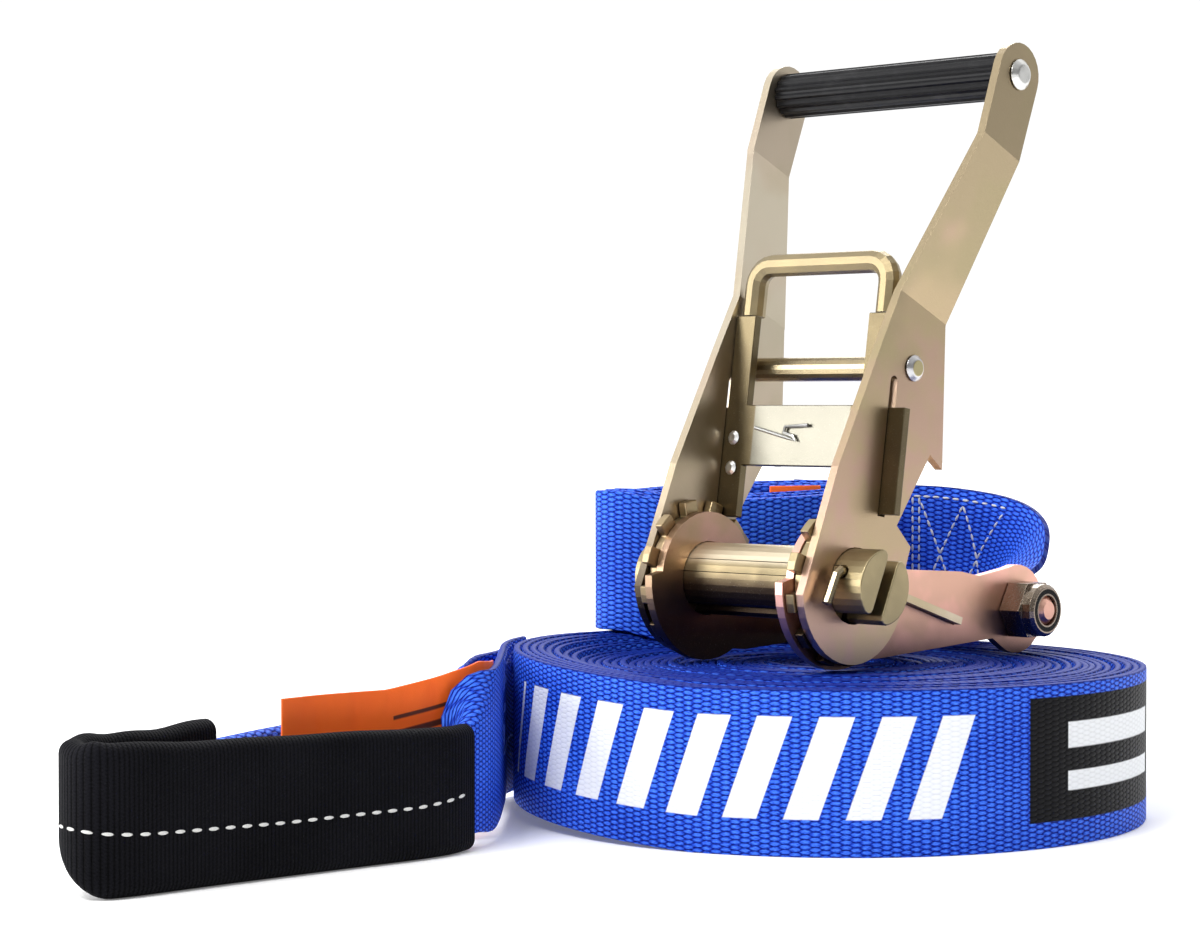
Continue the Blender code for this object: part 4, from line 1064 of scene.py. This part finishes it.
def strap_stitches(strip, look):
    """White bar and zigzag stitching where the strap's loop round the bolt is sewn down."""
    start, stop = SEWN_FROM, SEWN_TO
    again = start + SECOND_BAR
    low, high = SEWN_SHARES
    lift = WEBBING_THICKNESS / 2 + STITCH_LIFT
    lines = [[(start, low), (start, high)], [(again, low), (again, high)],
             [(start, high), (stop, high)], [(start, low), (stop, low)]]
    first = start + ZIGZAG_START
    tooth = (stop - first - ZIGZAG_GAP) / ZIGZAG_TEETH
    for edge in (high - ZIGZAG_INSET, low + ZIGZAG_INSET):
        lines.append([(first + tooth * k, 0.5 if k % 2 else edge) for k in range(ZIGZAG_TEETH + 1)])
    places = []
    for corners in lines:
        places += strip.seam(corners, lift, STRAP_STITCH_STEP)
        places += strip.seam(corners, -lift, STRAP_STITCH_STEP)
    return stitches("strap_end_stitching", places, look, "base", 0.75, 0.8)


def strap_spot(inset, angle):
    """A point of the strap's long round loop, this far inside its outermost turn."""
    length = (STRAP_HALF_LENGTH - inset) * cos(angle)
    depth = (STRAP_HALF_DEPTH - inset) * sin(angle)
    return (
        STRAP_CENTRE[0] + length * cos(STRAP_TILT) - depth * sin(STRAP_TILT),
        STRAP_CENTRE[1] + length * sin(STRAP_TILT) + depth * cos(STRAP_TILT),
    )


def strap_height(x, y):
    """Height of the strap's middle: the far side lies higher, and the line's raised turns lift it."""
    depth = 2 * (STRAP_HALF_DEPTH + STRAP_HALF_LENGTH * sin(STRAP_TILT))
    share = (y - STRAP_CENTRE[1]) / depth + 0.5
    return WEBBING_WIDTH + SEAT_GAP + WEBBING_WIDTH / 2 + max(STRAP_RISE * share, ride_up(x, y))


def side_place(s, t, across=0.0):
    """A point of the ratchet's side view in the whole object's frame."""
    return Vector((
        SPOOL_PLACE[0] + s * cos(RATCHET_TURN) - across * sin(RATCHET_TURN),
        SPOOL_PLACE[1] + s * sin(RATCHET_TURN) + across * cos(RATCHET_TURN),
        SPOOL_HEIGHT + t,
    ))


def strap_coil_rows():
    """The wound strap, from its inner end out, and its far end leaving for the bolt."""
    count = STRAP_LOOPS * STRAP_LOOP_POINTS
    rows = []
    for i in range(count + 1):
        loops_left = (count - i) / STRAP_LOOP_POINTS
        x, y = strap_spot(STRAP_PITCH * loops_left, STRAP_END_ANGLE + tau * loops_left)
        foot = strap_height(x, y) - WEBBING_WIDTH / 2
        dip = STRAP_LOW_EDGE * sin(STRAP_DIP_PER_LOOP * loops_left + STRAP_DIP_START) ** 2
        rows.append(upright_row(x, y, foot, foot + WEBBING_WIDTH - dip))
    return rows


def strap_end_rows(first):
    """Through the quarter twist, then round the spacer on the rear bolt."""
    across_bolt = Vector((sin(RATCHET_TURN), -cos(RATCHET_TURN), 0))
    spots = [(first[:2], strap_height(*first[:2]), 90)] + STRAP_END_ROUTE
    wrap = SPACER_RADIUS + SEAT_GAP + WEBBING_THICKNESS / 2
    route = [Vector((x, y, z)) for (x, y), z, twist in spots]
    twists = [twist for spot, z, twist in spots]
    for i in range(WRAP_POINTS):
        angle = WRAP_START + WRAP_STEP * i
        route.append(side_place(BOLT_PLACE[0] + wrap * cos(angle), BOLT_PLACE[1] + wrap * sin(angle)))
        twists.append(0)
    route.append(side_place(BOLT_PLACE[0] + wrap + STRAP_TAIL, BOLT_PLACE[1] - wrap / 2))
    twists.append(0)
    rows = []
    half = WEBBING_WIDTH / 2
    middles = smooth_route([tuple(p) for p in route], ROUTE_STEPS)
    turns = smooth_route([(twist, 0) for twist in twists], ROUTE_STEPS)
    for middle, turn in zip(middles, turns):
        twist = radians(max(0, turn.x))
        across = across_bolt * cos(twist) + Vector((0, 0, 1)) * sin(twist)
        rows.append([middle + across * half * (2 * k / STRAP_LANES - 1) for k in range(STRAP_LANES + 1)])
    return rows


def ratchet_strap():
    """The ratchet's own strap: its coil, its twisted end, its stitching and its label."""
    blue = blue_webbing("strap_webbing", STRAP_YARN_WIDTH)
    rows = strap_coil_rows()
    coil = cloth_strip("strap_wound", rows, WEBBING_THICKNESS)
    dress(coil, blue, ("ratchet_strap_coil",))
    round(strip_length(rows), 3)
    rows = strap_end_rows(rows[-1][0])
    end = cloth_strip("strap_to_bolt", rows, WEBBING_THICKNESS)
    dress(end, blue, ("ratchet_strap_end",))
    sewn = strap_stitches(Strip(rows), thread("white_strap_thread", THREAD_WHITE))
    round(strip_length(rows), 3)
    rows = []
    for angle in STRAP_LABEL_ANGLES:
        turns_in = STRAP_LOOPS - 1 + (angle - STRAP_END_ANGLE) / tau
        inset = STRAP_PITCH * turns_in + WEBBING_THICKNESS / 2 + SEAT_GAP + LABEL_THICKNESS / 2
        x, y = strap_spot(inset, angle)
        rows.append(upright_row(x, y, STRAP_LABEL_TOP - STRAP_LABEL_HEIGHT, STRAP_LABEL_TOP, 2))
    label = cloth_strip("label_of_strap", rows, LABEL_THICKNESS, LABEL_EDGE)
    look = orange_label("orange_strap_label", STRAP_LABEL_HEIGHT, STRAP_LABEL_PRINT)
    dress(label, look, ("strap_label",))
    round(strip_length(rows), 3)


def round_edges(node, width, from_angle):
    """Live steps that join a CAD piece's triangles into flat faces and round the edges between them."""
    weld = node.modifiers.new("weld", "WELD")
    weld.merge_threshold = SAME_CAD_POINT
    flats = node.modifiers.new("flats", "DECIMATE")
    flats.decimate_type = "DISSOLVE"
    flats.angle_limit = FLAT_WITHIN
    bevel = node.modifiers.new("edges", "BEVEL")
    bevel.width = width
    bevel.segments = 2
    bevel.limit_method = "ANGLE"
    bevel.angle_limit = from_angle
    bevel.harden_normals = True


def metal_finishes():
    """Finishes of the ratchet's own pieces, which keep their CAD shapes."""
    looks = [
        (passivated_steel("pinkish_passivated_steel", where=upper_part, special=GREENISH),
         ["handle_plate_right"]),
        (passivated_steel("paler_passivated_steel", MORE_SPECKLE, upper_part, LEFT_PLATE_PAINTED_LIGHT, FAR_PLATE_SHADE),
         ["handle_plate_left"]),
        (passivated_steel("base_passivated_steel", shade=BASE_SHADE),
         ["base_plate_right", "base_guard_plate", "rear_bolt"]),
        (passivated_steel("far_base_painted_shade_steel", shade=FAR_BASE_SHADE), ["base_plate_left"]),
        (passivated_steel("golden_passivated_steel"),
         ["cross_tube", "bolt_spacer", "cotter_pin_left", "cotter_pin_right"]),
        (passivated_steel("pawl_passivated_steel"), ["base_pawl"]),
        (passivated_steel("pull_bar_passivated_steel"), ["pull_bar"]),
        (passivated_steel("olive_passivated_steel", 0.0, painted_shaft_highlight, SHAFT_PAINTED_HIGHLIGHT, SHAFT_SHADE),
         ["half_shaft_back", "half_shaft_front"]),
        (passivated_steel("wheel_passivated_steel", shade=WHEEL_SHADE),
         ["ratchet_wheel_left", "ratchet_wheel_right"]),
        (passivated_steel("slider_steel", MORE_SPECKLE, slider_middle, SLIDER_PAINTED_REFLECTION), ["slider_pawl"]),
        (passivated_steel("nut_steel", where=lock_ring, special=NYLON_BLACK), ["rear_nut"]),
        (plated_steel("plated_rivets", RIVET_ZINC),
         ["grip_rivet", "slider_rivet_left_low", "slider_rivet_left_high",
          "slider_rivet_right_low", "slider_rivet_right_high"]),
        (plated_steel("ringed_rivet", RING_ZINC, rivet_middle, BRASSY), ["cross_rivet"]),
        (plated_steel("spring_wire", WIRE_ZINC),
         ["slider_spring", "slider_spring_clip", "base_pawl_spring"]),
        (black_grip_plastic("black_grip_plastic"), ["handle_grip"]),
    ]
    for look, names in looks:
        for name in names:
            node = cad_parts[name]
            node.data.materials.clear()
            node.data.materials.append(look)
    for name in ("base_plate_left", "base_plate_right", "ratchet_wheel_left", "ratchet_wheel_right",
                 "handle_plate_left", "handle_plate_right", "slider_pawl",
                 "half_shaft_back", "half_shaft_front", "rear_nut"):
        round_edges(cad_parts[name], ROUNDED_EDGE, ROUNDED_EDGE_FROM)
    for name in ("grip_rivet", "cross_rivet"):
        round_edges(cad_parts[name], ROUNDED_DOME, ROUNDED_DOME_FROM)


def studio():
    """A pale floor, soft lights and the camera."""
    rest_all()
    bpy.ops.mesh.primitive_plane_add(size=FLOOR_SIZE, location=(0, 0, 0))
    sweep = bpy.context.object
    sweep.name = "studio_floor"
    pick(sweep)
    bpy.ops.object.mode_set(mode="EDIT")
    bpy.ops.mesh.select_all(action="SELECT")
    bpy.ops.mesh.subdivide(number_cuts=2)
    bpy.ops.object.mode_set(mode="OBJECT")
    sweep.data.materials.append(studio_white("studio_white"))
    studio_sky()
    for light in LIGHTS:
        soft_light(*light)
    bpy.context.scene.view_settings.view_transform = "Standard"
    eye = bpy.data.cameras.new("camera")
    eye.lens = LENS
    eye.sensor_width = FILM_WIDTH
    eye.clip_start = NEAREST_SEEN
    camera = bpy.data.objects.new("camera", eye)
    bpy.context.scene.collection.objects.link(camera)
    camera.location = CAMERA_PLACE
    camera.rotation_euler = (pi / 2 - CAMERA_DROP, 0, 0)
    bpy.context.scene.camera = camera


def studio_sky():
    """White behind the object and overhead, darker on the camera's side, which the metal mirrors."""
    world = bpy.data.worlds.new("studio_sky")
    bpy.context.scene.world = world
    world.use_nodes = True
    tree = world.node_tree
    way = tree.nodes.new("ShaderNodeTexCoord")
    parts = tree.nodes.new("ShaderNodeSeparateXYZ")
    both = tree.nodes.new("ShaderNodeMath")
    tree.links.new(way.outputs["Generated"], parts.inputs[0])
    for k, (axis, amounts) in enumerate([("Y", SKY_BEHIND), ("Z", SKY_OVERHEAD)]):
        step = tree.nodes.new("ShaderNodeMapRange")
        step.interpolation_type = "SMOOTHSTEP"
        for socket, amount in zip(("From Min", "From Max", "To Min", "To Max"), amounts):
            step.inputs[socket].default_value = amount
        tree.links.new(parts.outputs[axis], step.inputs["Value"])
        tree.links.new(step.outputs["Result"], both.inputs[k])
    tree.links.new(both.outputs[0], tree.nodes["Background"].inputs["Strength"])
    tree.nodes["Background"].inputs["Color"].default_value = (1, 1, 1, 1)


def soft_light(name, place, towards, size, power):
    lamp = bpy.data.lights.new(name, "AREA")
    lamp.shape = "DISK"
    lamp.size = size
    lamp.energy = power
    light = bpy.data.objects.new(name, lamp)
    bpy.context.scene.collection.objects.link(light)
    light.location = place
    light.rotation_euler = (Vector(towards) - Vector(place)).to_track_quat("-Z", "Y").to_euler()


def main():
    main_line()
    ratchet_strap()
    metal_finishes()
    studio()


main()
